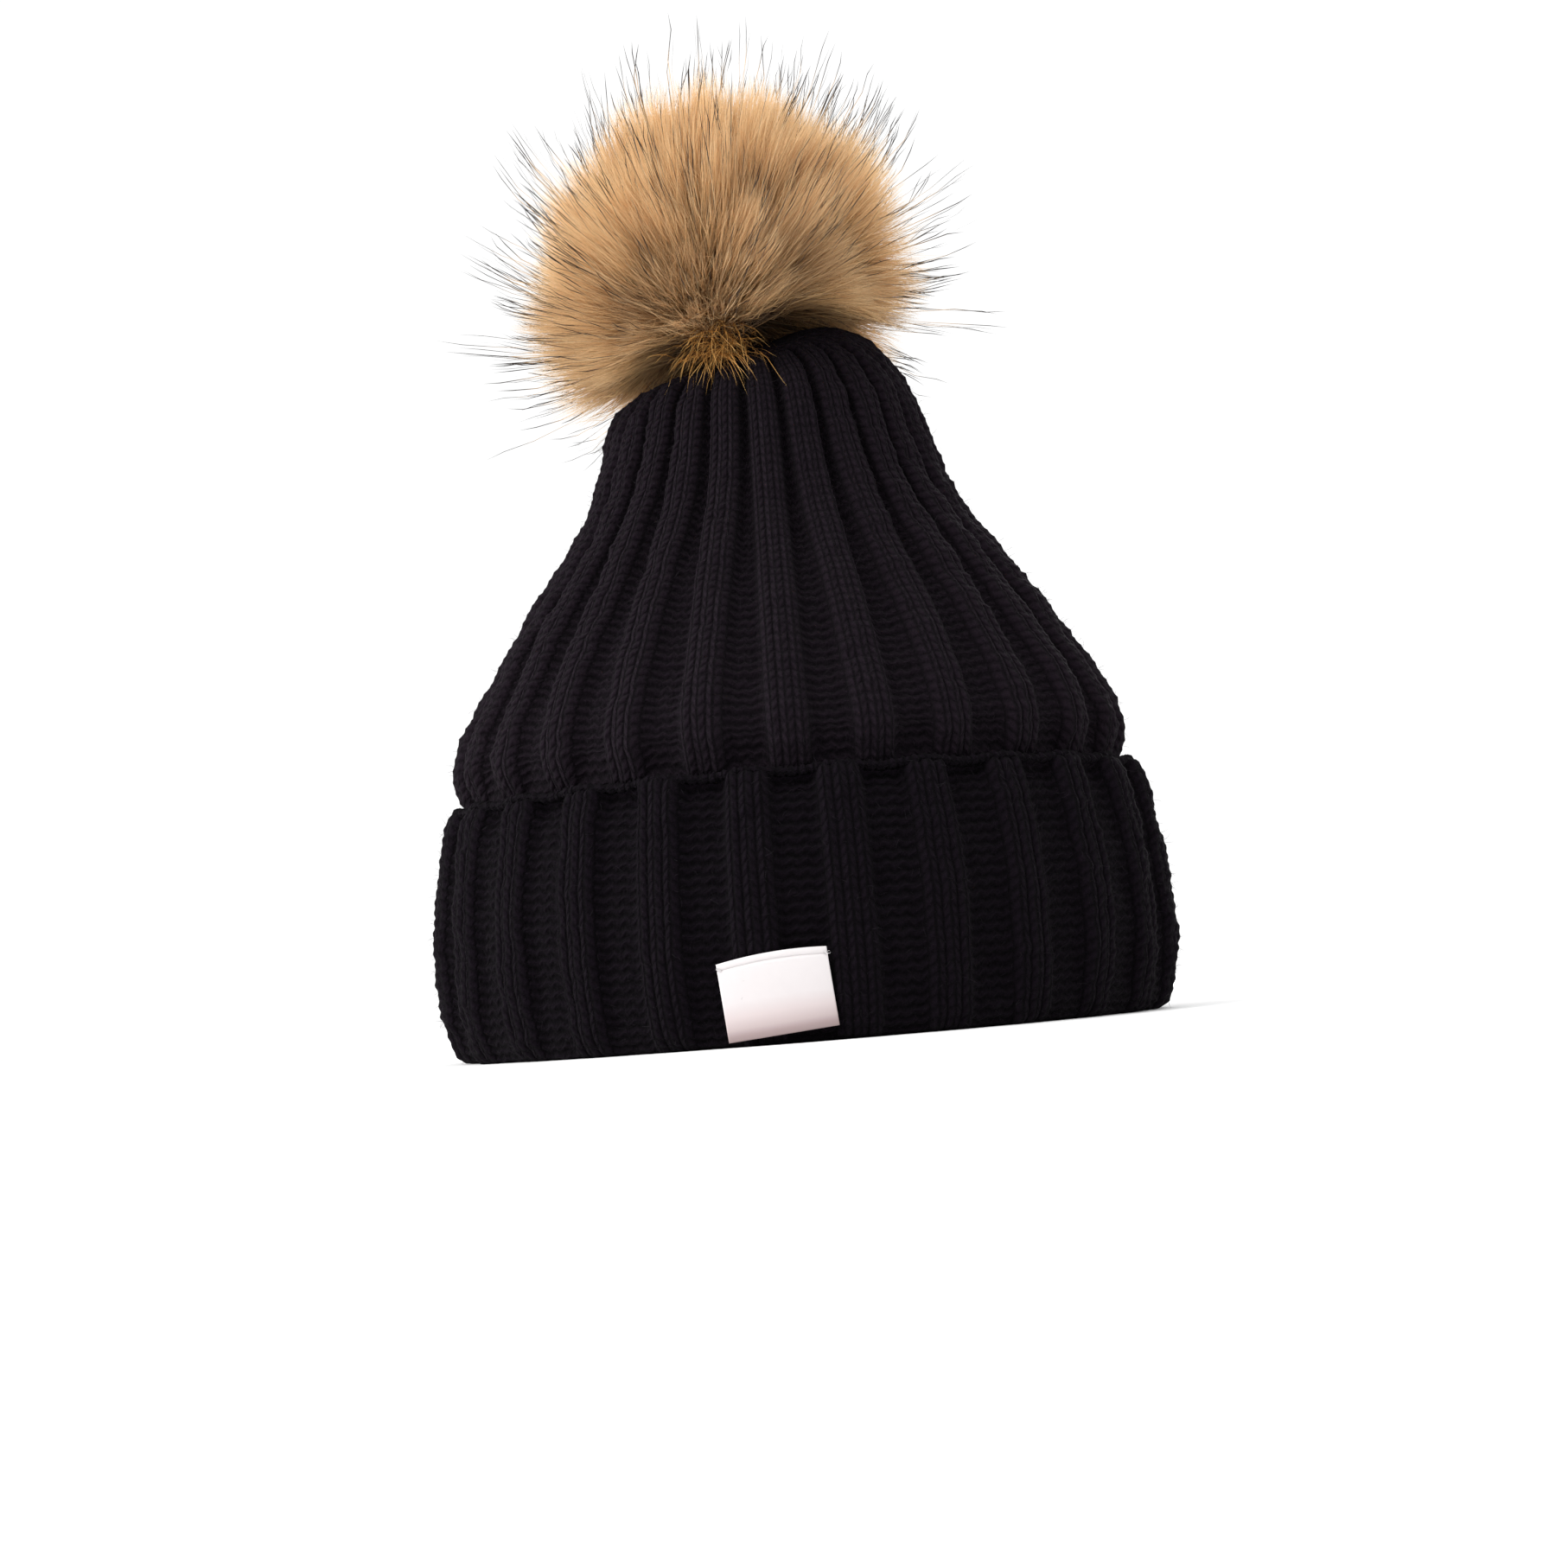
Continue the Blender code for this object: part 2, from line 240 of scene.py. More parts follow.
knit = {
    "ribs": 26,
    "flank": 0.15,  # share of a rib's pitch that one sloping side takes
    "wales": 3,  # on each rib, and in each valley between two
    "coursePitch": 2.9,
    "courses": 97,  # more than there are, so that no unevenness comes twice
    "riseTowards": (0.8, 0.6),  # the crown's top is higher to the right and the back
    "knitRelief": 1.0,
    "legRelief": 0.3,  # share of it that a stitch's legs take
    "purlRelief": 0.85,
    "sunk": 0.4,  # how far stitches go under the plain surface
    "zigzag": 0.24,  # rise of a row of purl bumps, as a share of a course
    "roundness": 1.1,  # how far the middle of a rib stands past its sides
    "legSlope": 1.3,  # how steeply the two legs of a stitch part
    "wobble": 0.4,  # of the whole surface,
    "uneven": 0.3,  # and of single stitches
    "fluffScale": 1100.0,
    "yarnScale": 240.0,
    "yarnBend": 0.5,  # as a share of a course
    "bump": 0.9,
    # light: how far the stitches' height darkens the colour in their hollows, which is painted shade, how far
    # the fluff varies it, and where the ramp starts
    "light": (0.65, 0.95, -0.33),  # how stitches and fluff light the colour, and where it starts
    "sheenTint": (0.6, 0.52, 0.6),
}
allWales = 2 * knit["wales"] * knit["ribs"]  # once round the hat


def chordOf(table):
    # Distance along a table's rows, from their heights and half widths
    steps = np.hypot(np.diff(table[:, 0]), np.diff(table[:, 1]))
    return np.concatenate(([0.0], np.cumsum(steps)))


def readCurve(table, places):
    # A smooth curve through the rows of a table, read at distances along it: between two rows it is
    # the cubic that passes through both with the mean slope of each row's neighbours.
    chord = chordOf(table)
    slopes = np.gradient(table, chord, axis=0)
    k = np.clip(np.searchsorted(chord, places, "right") - 1, 0, len(chord) - 2)
    span = (chord[k + 1] - chord[k])[:, None]
    t = (places - chord[k])[:, None] / span
    return ((2 * t**3 - 3 * t**2 + 1) * table[k] + (t**3 - 2 * t**2 + t) * span * slopes[k]
            + (3 * t**2 - 2 * t**3) * table[k + 1] + (t**3 - t**2) * span * slopes[k + 1])


def ribGrid(share, firstRib, crestColumns, valleyColumns):
    # For each row and column: the angle from the front, how far the rib stands there from 0 to 1, its
    # roundness, and the wale, counted from a rib's left edge. share is the part of the pitch that
    # stands proud. The roundness is 1 less the square of the way from the rib's middle to its side.
    share = share[:, None]
    crest = np.arange(crestColumns) / crestColumns
    valley = np.arange(valleyColumns) / valleyColumns
    within = np.hstack((share * (crest - 0.5), share / 2 + (1 - share) * valley))
    apart = np.minimum(np.abs(within), 1 - within)
    stand = 1 - smoothStep((apart - (share - knit["flank"]) / 2) / knit["flank"])
    wale = knit["wales"] * np.concatenate((crest, 1 + valley))
    number = np.repeat(np.arange(knit["ribs"]), crestColumns + valleyColumns)
    angle = (number + firstRib + np.tile(within, knit["ribs"])) * turn / knit["ribs"]
    wale = np.tile(wale, knit["ribs"]) + number * 2 * knit["wales"]
    roundness = knit["roundness"] * (1 - (2 * apart / share) ** 2).clip(0, None)
    return angle, np.tile(stand, knit["ribs"]), np.tile(roundness, knit["ribs"]), wale


def oval(rows, angle, inset=0.0, lean=np.zeros((1, 3))):
    # An oval for each row: half width times sine across, less half depth times cosine along, both
    # taken in by the inset, then moved by its lean's shifts, and tipped up to one side by its rise.
    height, width, depth = rows[:, :3].T[:, :, None]
    shiftX, shiftY, rise = lean.T[:, :, None]
    across = (width - inset) * np.sin(angle)
    along = (inset - depth) * np.cos(angle)
    tip = rise / width * (across * knit["riseTowards"][0] + along * knit["riseTowards"][1])
    return np.stack((across + shiftX, along + shiftY, height + tip + 0 * across), axis=2)


def stitches(wale, course, purlWidth=1.0):
    # Relief of the stitches: on a rib each wale is a rounded ridge, crossed by the legs of its
    # stitches, and in a valley each course is a row of purl bumps that rises and falls in each wale.
    place = wale % 1
    legs = 0.5 + 0.5 * np.cos(turn * (course - knit["legSlope"] * np.abs(place - 0.5)))
    ridge = np.sin(math.pi * place) ** 0.8
    plain = knit["knitRelief"] * ridge * (1 - knit["legRelief"] * (1 - legs))
    shift = knit["zigzag"] * (0.5 + 0.5 * np.cos(turn * place))
    purl = knit["purlRelief"] * purlWidth * (0.5 + 0.5 * np.cos(turn * (course + shift)))
    return np.where(wale % (2 * knit["wales"]) < knit["wales"], plain, purl)


def wobble(angle, wale, course, seed):
    # Slow unevenness, from sines that come round a whole number of times round the hat, and a random
    # height for each stitch, with a smooth step from one to the next
    slow = (np.sin(5 * angle + 0.21 * course) * np.sin(0.13 * course + 1.1)
            + 0.6 * np.sin(11 * angle - 0.34 * course + 2.0) + 0.4 * np.sin(23 * angle + 0.9 * course + 0.7))
    table = np.random.default_rng(seed).normal(size=(knit["courses"], allWales))
    course, wale = np.broadcast_arrays(course, wale - 0.5)
    i, j = np.floor(course).astype(int), np.floor(wale).astype(int)
    s, t = smoothStep(course - i), smoothStep(wale - j)
    corners = [table[(i + up) % knit["courses"], (j + right) % allWales] for up, right in np.ndindex(2, 2)]
    stitch = (1 - s) * ((1 - t) * corners[0] + t * corners[1]) + s * ((1 - t) * corners[2] + t * corners[3])
    return knit["wobble"] * slow + knit["uneven"] * stitch


def knitMaps(wale, course):
    # "knit" counts wales and courses for the stitch pattern, and the other lays the grid out flat
    counts = np.append(wale, allWales), np.append(course, course[-1] + 1)
    flat = [np.linspace(0, 1, len(count)) for count in counts]
    maps = {"knit": counts, "OFBake": flat}
    return {key: np.stack(np.meshgrid(*places), axis=2) for key, places in maps.items()}


def knitFinish(name, shade):
    # Legs of stitches on the ribs and rows of purl bumps between them, under fine fluff. Each leg is a
    # wave along the wale that is shifted by the way from its middle, and dark where two wales meet. The
    # colour follows the stitches' height as painted shade, darker in their hollows, and the fluff as a
    # random tone.
    finish = Finish(name)
    u, v = finish.uv("knit")
    fluffy = finish.noise(knit["fluffScale"], 5.0)
    yarn = finish.noise(knit["yarnScale"], 3.0)
    v = v + (yarn - 0.5) * knit["yarnBend"]
    onRib = ((u * (0.5 / knit["wales"])).fraction()) < 0.5
    apart = (u.fraction() - 0.5).size()
    legs = (v - apart * knit["legSlope"]).wave() ** 0.6
    plain = (1 - (apart * 2).wave() ** 3) * (0.25 + 0.75 * legs)
    row = v + u.wave() * knit["zigzag"]
    purl = row.wave() * (0.5 + 0.35 * (row * 2 + u).wave())
    stitch = purl + (plain - purl) * onRib
    height = stitch * 0.8 + fluffy * 0.8
    shadeByStitch, byFluff, start = knit["light"]
    # painted shade: the colour is darker where the stitches are low
    colour = finish.ramp(stitch * shadeByStitch + fluffy * byFluff + start, shade["stops"])
    colour = finish.blend(yarn, colour, shade["tint"], "MULTIPLY")
    return finish.finished(finish.surface(colour, 0.95, 0.06, {
        "Sheen Weight": shade["sheen"], "Sheen Roughness": 0.6, "Sheen Tint": asColour(knit["sheenTint"]),
        "Normal": finish.bump(height, knit["bump"] * mm)}))


crown = {
    "columns": (12, 6),  # on a rib, and in the valley after it
    "rowsPerCourse": 3,
    "wall": 5.4,
    "hidden": 60.0,  # length up the profile from the hem, behind the cuff
    "hiddenRows": 8,
    "shown": (54.0, 5.0),  # length from which the relief shows, and over which it grows
    "topRings": [17, 18],  # where rows get their own spacing, and where the inside ends
    "topSpacing": 1.7,
    "innerRows": 13,
    "apex": (-16.0, -22.0, 186.6),
    "innerApex": (-9.0, -11.0, 186.0),
    "valleys": 1.15,  # how much deeper the valleys are than the solid's
    "crowded": 40.0,  # half width under which the relief fades
    "wideValley": 0.4,  # share of the pitch under which the purl bumps do
    "shade": {"stops": [(0.0, (0.0014, 0.0010, 0.0014)), (1.0, (0.0120, 0.0078, 0.0114))],
              "tint": (0.86, 0.82, 0.94), "sheen": 0.016},
    # height, half width, half depth, shift to the right, shift to the back, rise, rib depth, rib share
    "rings": np.array([
        (6.3, 93.0, 99.1, 0.0, 0.0, 0.0, 0.8, 0.50),
        (28.0, 98.0, 104.4, 0.0, 0.0, 0.0, 0.8, 0.50),
        (58.0, 95.2, 101.4, 0.0, 0.0, 0.0, 0.8, 0.50),
        (71.0, 92.3, 98.4, 0.0, 0.0, 0.0, 1.4, 0.50),
        (75.0, 93.8, 99.9, 0.0, 0.0, 0.0, 2.8, 0.50),
        (80.0, 95.4, 101.5, 0.0, 0.0, 0.0, 3.4, 0.50),
        (88.0, 93.8, 99.6, 0.0, 0.0, 0.0, 3.4, 0.51),
        (98.0, 88.8, 93.9, 0.0, 0.0, 0.0, 3.4, 0.53),
        (108.0, 82.8, 87.2, 0.0, 0.0, 0.0, 3.4, 0.55),
        (117.0, 77.2, 80.8, 0.0, 0.0, 0.0, 3.4, 0.58),
        (126.0, 70.9, 73.8, 0.0, 0.0, 0.0, 3.4, 0.61),
        (135.0, 64.6, 66.8, 0.0, 0.0, 0.0, 3.5, 0.65),
        (144.0, 58.4, 60.0, 0.0, 0.0, 0.0, 3.6, 0.69),
        (154.0, 52.8, 53.8, 0.0, 0.0, 0.0, 3.6, 0.73),
        (168.0, 47.4, 47.8, 0.0, 0.0, 0.4, 3.5, 0.77),
        (181.0, 43.0, 43.2, -0.1, 0.0, 1.6, 3.2, 0.79),
        (190.6, 36.6, 37.0, -0.6, -0.4, 4.8, 2.8, 0.79),
        (196.2, 27.4, 28.2, -2.0, -3.2, 8.0, 2.3, 0.78),
        (196.0, 17.6, 18.0, -6.2, -9.2, 7.2, 1.6, 0.77),
        (192.6, 9.2, 9.3, -11.4, -15.8, 4.0, 0.9, 0.76),
        (189.0, 3.6, 3.6, -14.8, -20.2, 1.4, 0.3, 0.75),
    ]),
}


def makeCrown():
    # Down the inside from its top to the hem, then up the ribbed outside to the gather. Behind the
    # cuff the relief has its valleys alone.
    chord = chordOf(crown["rings"])
    hidden = crown["hidden"]
    shoulder, innerTop = chord[crown["topRings"]]
    places = np.concatenate((np.linspace(0, hidden, crown["hiddenRows"])[:-1],
                             np.arange(hidden, shoulder, knit["coursePitch"] / crown["rowsPerCourse"]),
                             np.arange(shoulder, chord[-1] + 0.1, crown["topSpacing"])))
    rows = readCurve(crown["rings"], places)
    angle, stand, roundness, wale = ribGrid(rows[:, 7], 0.0, *crown["columns"])
    course = (places / knit["coursePitch"])[:, None]
    plain = oval(rows, angle, lean=rows[:, 3:6])
    narrow = np.minimum(rows[:, 1:2] / crown["crowded"], 1.0)
    purlWidth = np.minimum((1 - rows[:, 7:8]) / crown["wideValley"], 1.0)
    fine = stitches(wale, course, purlWidth) - knit["sunk"] + roundness + wobble(angle, wale, course, seed=3)
    relief = -crown["valleys"] * rows[:, 6:7] * (1 - stand) + narrow * fine
    shownFrom, shownOver = crown["shown"]
    shown = smoothStep((places[:, None] - shownFrom) / shownOver)
    relief = relief * shown + relief.clip(None, 0) * (1 - shown)
    outer = plain + outward(plain) * relief[:, :, None]

    innerPlaces = np.linspace(innerTop, 0, crown["innerRows"])
    innerRows = readCurve(crown["rings"], innerPlaces)
    inner = oval(innerRows, angle[:1], lean=innerRows[:, 3:6])
    inner = inner + outward(inner) * crown["wall"]
    inner[-1, :, 2] = plain[0, :, 2]
    maps = knitMaps(wale, np.concatenate((innerPlaces, places)) / knit["coursePitch"])
    yarn = knitFinish("crownYarn", crown["shade"])
    piece = gridPiece("crownKnit", np.concatenate((inner, outer)), maps, yarn,
                      ends=(crown["innerApex"], crown["apex"]))
    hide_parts("crown")
    return outer


cuff = {
    "columns": (12, 9),
    "rowsPerCourse": 4,
    "ribShare": 0.5,
    "firstRib": 0.5,  # its ribs are half a rib round from the crown's
    "roundness": 0.6,  # of its ribs, as a share of the crown's
    "footLength": 5.0,  # of the fold, which is pressed flat,
    "topLength": 4.0,  # and of the upper edge, where the ribs lose their roundness
    # the crown's yarn again, with colours about half as bright and weaker sheen: painted shade on the lower
    # band, which faces down
    "shade": {"stops": [(0.0, (0.0006, 0.0004, 0.0006)), (1.0, (0.0064, 0.0040, 0.0066))],
              "tint": (0.84, 0.80, 0.94), "sheen": 0.007},
    "hollow": 1.6,  # how much deeper a valley is just under the upper edge,
    "hollowBelow": 4.5,  # how far under it that is,
    "hollowSize": 3.0,  # and how soon it fades
    "pressedBy": 0.2,  # how much lower the stitches are under the label,
    "pressedUnder": 0.1,  # and how far under the plain surface they stay
    "backCourses": 2.0,  # from each row of the back to the next
    # height, half width, half depth, rib depth, scallop: how far a crest is lifted at the upper edge
    # and a valley dropped
    "rings": np.array([
        (0.0, 96.6, 102.9, 0.0, 0.0), (0.8, 99.2, 105.7, 0.7, 0.0), (3.2, 101.6, 108.2, 1.4, 0.0),
        (8.0, 103.4, 110.1, 2.5, 0.0), (16.0, 104.9, 111.8, 3.2, 0.0), (28.0, 105.5, 112.4, 3.2, 0.0),
        (44.0, 104.5, 111.3, 3.2, 0.0), (57.0, 102.2, 108.9, 3.3, 0.1), (66.0, 100.0, 106.6, 3.3, 0.3),
        (69.2, 98.4, 104.9, 2.8, 0.5), (69.8, 96.8, 103.2, 1.6, 0.5),
    ]),
    # height, half width, half depth of the side that lies on the crown, and of the mouth
    "back": np.array([
        (69.8, 94.6, 101.0), (66.0, 94.4, 100.5), (58.0, 95.9, 102.1), (43.0, 97.3, 103.7),
        (28.0, 98.7, 105.1), (17.0, 96.6, 102.9), (7.5, 94.0, 100.1), (6.0, 93.2, 99.3),
        (6.0, 88.3, 94.4), (1.6, 88.5, 94.6), (0.2, 90.6, 96.7),
    ]),
}


def underLabel(points):
    # 1 behind the label and 0 away from it, from its corners turned back to the level
    x, z = points[:, :, 0] - label["x"], points[:, :, 2] - label["middleHeight"]
    across = np.abs(x * math.cos(label["turn"]) + z * math.sin(label["turn"]))
    up = np.abs(z * math.cos(label["turn"]) - x * math.sin(label["turn"]))
    past = np.maximum(across - label["width"] / 2, up - label["height"] / 2)
    return (1 - smoothStep(past / label["press"])) * (points[:, :, 1] < 0)


def makeCuff():
    # A closed band: up its ribbed face, over the upper edge, down the back and under the fold
    chord = chordOf(cuff["rings"])
    rowCount = int(chord[-1] / (knit["coursePitch"] / cuff["rowsPerCourse"])) + 1
    places = np.linspace(0, chord[-1], rowCount)
    rows = readCurve(cuff["rings"], places)
    share = np.full(rowCount, cuff["ribShare"])
    angle, stand, roundness, wale = ribGrid(share, cuff["firstRib"], *cuff["columns"])
    course = (places / knit["coursePitch"])[:, None]
    ribbed = oval(rows, angle, rows[:, 3:4] * (1 - stand))
    foot = smoothStep(places / cuff["footLength"])[:, None]
    top = smoothStep((chord[-1] - places) / cuff["topLength"])[:, None]
    relief = foot * (stitches(wale, -course) - knit["sunk"] + cuff["roundness"] * top * roundness
                     + wobble(angle, wale, course, seed=4))
    below = (chord[-1] - cuff["hollowBelow"] - places[:, None]) / cuff["hollowSize"]
    relief -= cuff["hollow"] * (1 - stand) * np.exp(-below**2)
    pressed = underLabel(ribbed)
    flat = (relief - cuff["pressedBy"]).clip(None, -cuff["pressedUnder"])
    relief = relief * (1 - pressed) + flat * pressed
    face = ribbed + outward(oval(rows, angle)) * relief[:, :, None]
    face[:, :, 2] += rows[:, 4:5] * (2 * stand - 1)
    face[:, :, 2] = face[:, :, 2].clip(0.0, None)

    back = oval(cuff["back"], angle[:1])
    backCourse = course[-1, 0] + np.arange(1, len(back) + 1) * cuff["backCourses"]
    maps = knitMaps(wale, -np.concatenate((course[:, 0], backCourse)))
    # the darker copy of the yarn, whose darkness is painted shade
    yarn = knitFinish("cuffYarnPaintedShade", cuff["shade"])
    piece = gridPiece("cuffKnit", np.concatenate((face, back)), maps, yarn, roundAlong=True)
    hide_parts("cuff")
    makeCuffEdge(yarn)
    return face


cuffEdge = {
    "height": 69.9, "halfWidth": 97.5, "halfDepth": 104.0,
    "inset": 1.3,  # how far it is drawn in over a valley,
    "scallop": 0.5,  # and how far it is dropped there
    "stitches": 208, "perStitch": 4, "sides": 8, "across": 1.6, "up": 1.35,
    "swell": 0.16,  # half of how much thinner it is between two stitches
    "weave": (0.25, 0.2),  # how far the stitches go in and out, and up and down
}


def makeCuffEdge(yarn):
    # The last row of stitches, a chain round the upper edge: a roll whose section swells once in each
    # stitch, and which is drawn in and dropped a little over each valley
    count = cuffEdge["stitches"] * cuffEdge["perStitch"]
    angle = np.arange(count) * turn / count
    rib = np.cos(knit["ribs"] * angle - math.pi)  # 1 on the middle of a rib
    stitch = np.arange(count) / cuffEdge["perStitch"]
    swell = 1 - cuffEdge["swell"] * (1 - np.cos(turn * stitch))
    section = (np.arange(cuffEdge["sides"]) * turn / cuffEdge["sides"])[:, None]
    weaveOut, weaveUp = cuffEdge["weave"]
    out = swell * cuffEdge["across"] * np.cos(section) + weaveOut * np.sin(turn * stitch)
    inset = cuffEdge["inset"] * (1 - rib) / 2
    width = cuffEdge["halfWidth"] - inset + out
    depth = cuffEdge["halfDepth"] - inset + out
    up = cuffEdge["height"] + cuffEdge["scallop"] * rib + swell * cuffEdge["up"] * np.sin(section)
    up += weaveUp * np.cos(2 * turn * stitch)
    points = np.stack((width * np.sin(angle), -depth * np.cos(angle), up), axis=2)
    maps = knitMaps(stitch * allWales / cuffEdge["stitches"], np.linspace(0, 1.0, cuffEdge["sides"]))
    gridPiece("cuffEdge", points, maps, yarn, roundAlong=True)


# Strands: fur, fluff and thread ends

def ribbonMesh(name, paths, widths, tones, material, ways=None, seed=1):
    # Flat tapered strands that end in a point, each with its own twist: half a width to either side
    # of the path, square to it and to a random direction. The map's first number is the strand's
    # tone and its second the way along it.
    count, length = paths.shape[:2]
    rng = np.random.default_rng(seed)
    along = unit(np.gradient(paths, axis=1))
    sideways = unit(np.cross(along, unit(rng.normal(size=(count, 1, 3)))))
    half = (widths[:, :-1, None] / 2) * sideways[:, :-1]
    edges = np.stack((paths[:, :-1] - half, paths[:, :-1] + half), axis=2)
    points = np.concatenate((edges.reshape(count, -1, 3), paths[:, -1:]), axis=1)
    i = 2 * np.arange(length - 2)
    sides = np.stack((i, i + 1, i + 3, i + 2), axis=1)
    last = 2 * (length - 2)
    tip = np.array([(last, last + 1, last + 2)])
    first = (np.arange(count) * points.shape[1])[:, None, None]
    faces = [(part[None] + first).reshape(-1, part.shape[1]) for part in (sides, tip)]
    ways = np.linspace(0, 1, length) if ways is None else ways
    way = np.append(np.repeat(ways[:-1], 2), ways[-1])
    mapWidth = 0.002  # a strand's half width in its map
    offset = np.append(np.tile((-1.0, 1.0), length - 1), 0.0) * mapWidth
    places = np.stack((tones[:, None] + offset, np.broadcast_to(way, (count, len(way)))), axis=2)
    corners = np.concatenate([part.ravel() for part in faces])
    maps = {"OFBake": places.reshape(-1, 2)[corners]}
    return addPiece(name, points.reshape(-1, 3), faces, maps, material)


fluff = {
    "fibres": 11000,
    "length": (1.2, 3.4),
    "stand": 0.7,
    "astray": 0.6,  # how far fibres lean at random
    "curl": 0.5,
    "ways": np.array((0.0, 0.55, 1.0)),
    "widths": np.array((0.07, 0.056, 0.0)),
    "lowest": 0.1,
    "colour": (0.012, 0.0095, 0.0125),
    "crownRows": slice(16, -12),  # those that show, between the cuff and the pompom
    "cuffRows": slice(6, None),
}


def makeFluff(surfaces):
    # Short curved fibres that stand off the yarn, from random places on the outer surfaces
    rng = np.random.default_rng(11)
    points = np.concatenate([surface.reshape(-1, 3) for surface in surfaces])
    normals = np.concatenate([outward(surface).reshape(-1, 3) for surface in surfaces])
    chosen = rng.choice(len(points), fluff["fibres"], replace=False)
    lean = unit(normals[chosen] * fluff["stand"] + rng.normal(size=(len(chosen), 3)) * fluff["astray"])
    curl = unit(np.cross(lean, rng.normal(size=(len(chosen), 3))))[:, None]
    length = rng.uniform(*fluff["length"], (len(chosen), 1, 1))
    t = fluff["ways"][:, None]
    paths = points[chosen][:, None] + length * (lean[:, None] * t + fluff["curl"] * curl * t**2)
    paths[:, :, 2] = paths[:, :, 2].clip(fluff["lowest"], None)
    widths = np.broadcast_to(fluff["widths"], (len(chosen), len(t)))
    tones = rng.uniform(0.1, 0.9, len(chosen))
    hair = plainFinish("yarnFluff", fluff["colour"], 0.8, 0.15)
    ribbonMesh("knitFluff", paths, widths, tones, hair)


fur = {
    "centre": np.array((-9.0, -3.5, 227.0)),
    "base": np.array((-13.0, -15.0, 199.0)),  # where the strands come together, on the gather
    "reach": np.array((58.5, 58.0, 51.5)),  # half sizes of the dense coat
    "squareness": 2.3,  # 2 is an oval, and more fills its corners
    "fullness": 0.72,  # under 1 keeps the lower half wide
    "leanTop": 0.06,  # how far the top leans to the right
    "lobes": (3, 0.030),  # broad ones round it, and how far they stand
    # waves on it: how far each stands, its turns to the right, the back and up, and its start
    "waves": np.array([(0.025, 5.0, 0.0, 2.1, 0.6), (0.020, 0.0, 6.0, -3.0, 1.9),
                       (0.020, 9.0, -7.0, 4.0, 0.0)]),
    "comb": 0.85,  # how far strands are swept from the base, as an angle
    "rootNear": 14.0,
    "rootFar": 24.0,
    "bendTurn": 0.42,  # share of the turn from root to tip at a strand's bend,
    "bendReach": 0.68,  # and share of the way out
    "sag": 2.5 / 60,  # of an end, for each millimetre out from the middle
    "hang": 12.0,  # how much further ends fall on the crown's shoulder,
    "hangTowards": np.array((0.9, 0.25, -0.35)),  # which is on this side
    "hangFrom": (0.55, 0.35),  # cosine of the angle from it, and how soon it grows
    "swirl": 3.0,  # how far slow bends push the ends of strands aside
    # the bends: how far each pushes to the right, the back and up, its turns those ways, and its start
    "bends": np.array([(1.0, 0.0, 0.0, 0.0, 5.0, 7.0, 1.0), (0.6, 0.0, 0.0, 13.0, 0.0, 4.0, 0.0),
                       (0.0, 1.0, 0.0, 6.0, 0.0, -5.0, 2.0), (0.0, 0.0, 0.7, 6.0, 8.0, 0.0, 0.5)]),
    # how low strands in front of the gather may reach: the place across, and the height
    "skirt": np.array([(-75.0, 166.0), (-32.0, 197.0), (-3.0, 199.0), (16.0, 209.0), (35.0, 205.0),
                       (46.0, 186.0)]),
    "skirtDepth": 6.0,  # strands further back than this may reach lower
    "liftMost": 6.0,  # strands that dip deeper into the knit are left out
    "toneRange": (0.02, 0.98),
}


def spread(count, rng, jitter=1.0):
    # Directions spread evenly over a ball in a spiral, each moved a little at random
    index = np.arange(count) + 0.5
    up = 1 - 2 * index / count
    around = index * math.pi * (3 - math.sqrt(5))
    flat = np.sqrt(1 - up**2)
    even = np.stack((flat * np.cos(around), flat * np.sin(around), up), axis=1)
    return unit(even + rng.normal(size=even.shape) * jitter / math.sqrt(count))


def coatTips(directions, share):
    # Ends of strands: a squarish oval round the centre, wider in its lower half and leaning a little
    # at its top, with broad lobes round it and slow waves on them, which are sines
    x, y, z = directions.T
    flat = np.sqrt(np.maximum(1 - z**2, 1e-6))
    fuller = np.where(z < 0, flat ** (fur["fullness"] - 1), 1.0)
    wide = np.stack((x * fuller, y * fuller, z), axis=1)
    square = (np.abs(directions) ** fur["squareness"]).sum(axis=1) ** (-1 / fur["squareness"])
    count, size = fur["lobes"]
    lobes = size * flat * np.sin(count * np.arctan2(y, x)) + fur["leanTop"] * 2 * x * z.clip(0, None)
    waves = np.sin(directions @ fur["waves"][:, 1:4].T + fur["waves"][:, 4]) @ fur["waves"][:, 0]
    return fur["centre"] + wide * fur["reach"] * ((square + lobes + waves) * share)[:, None]


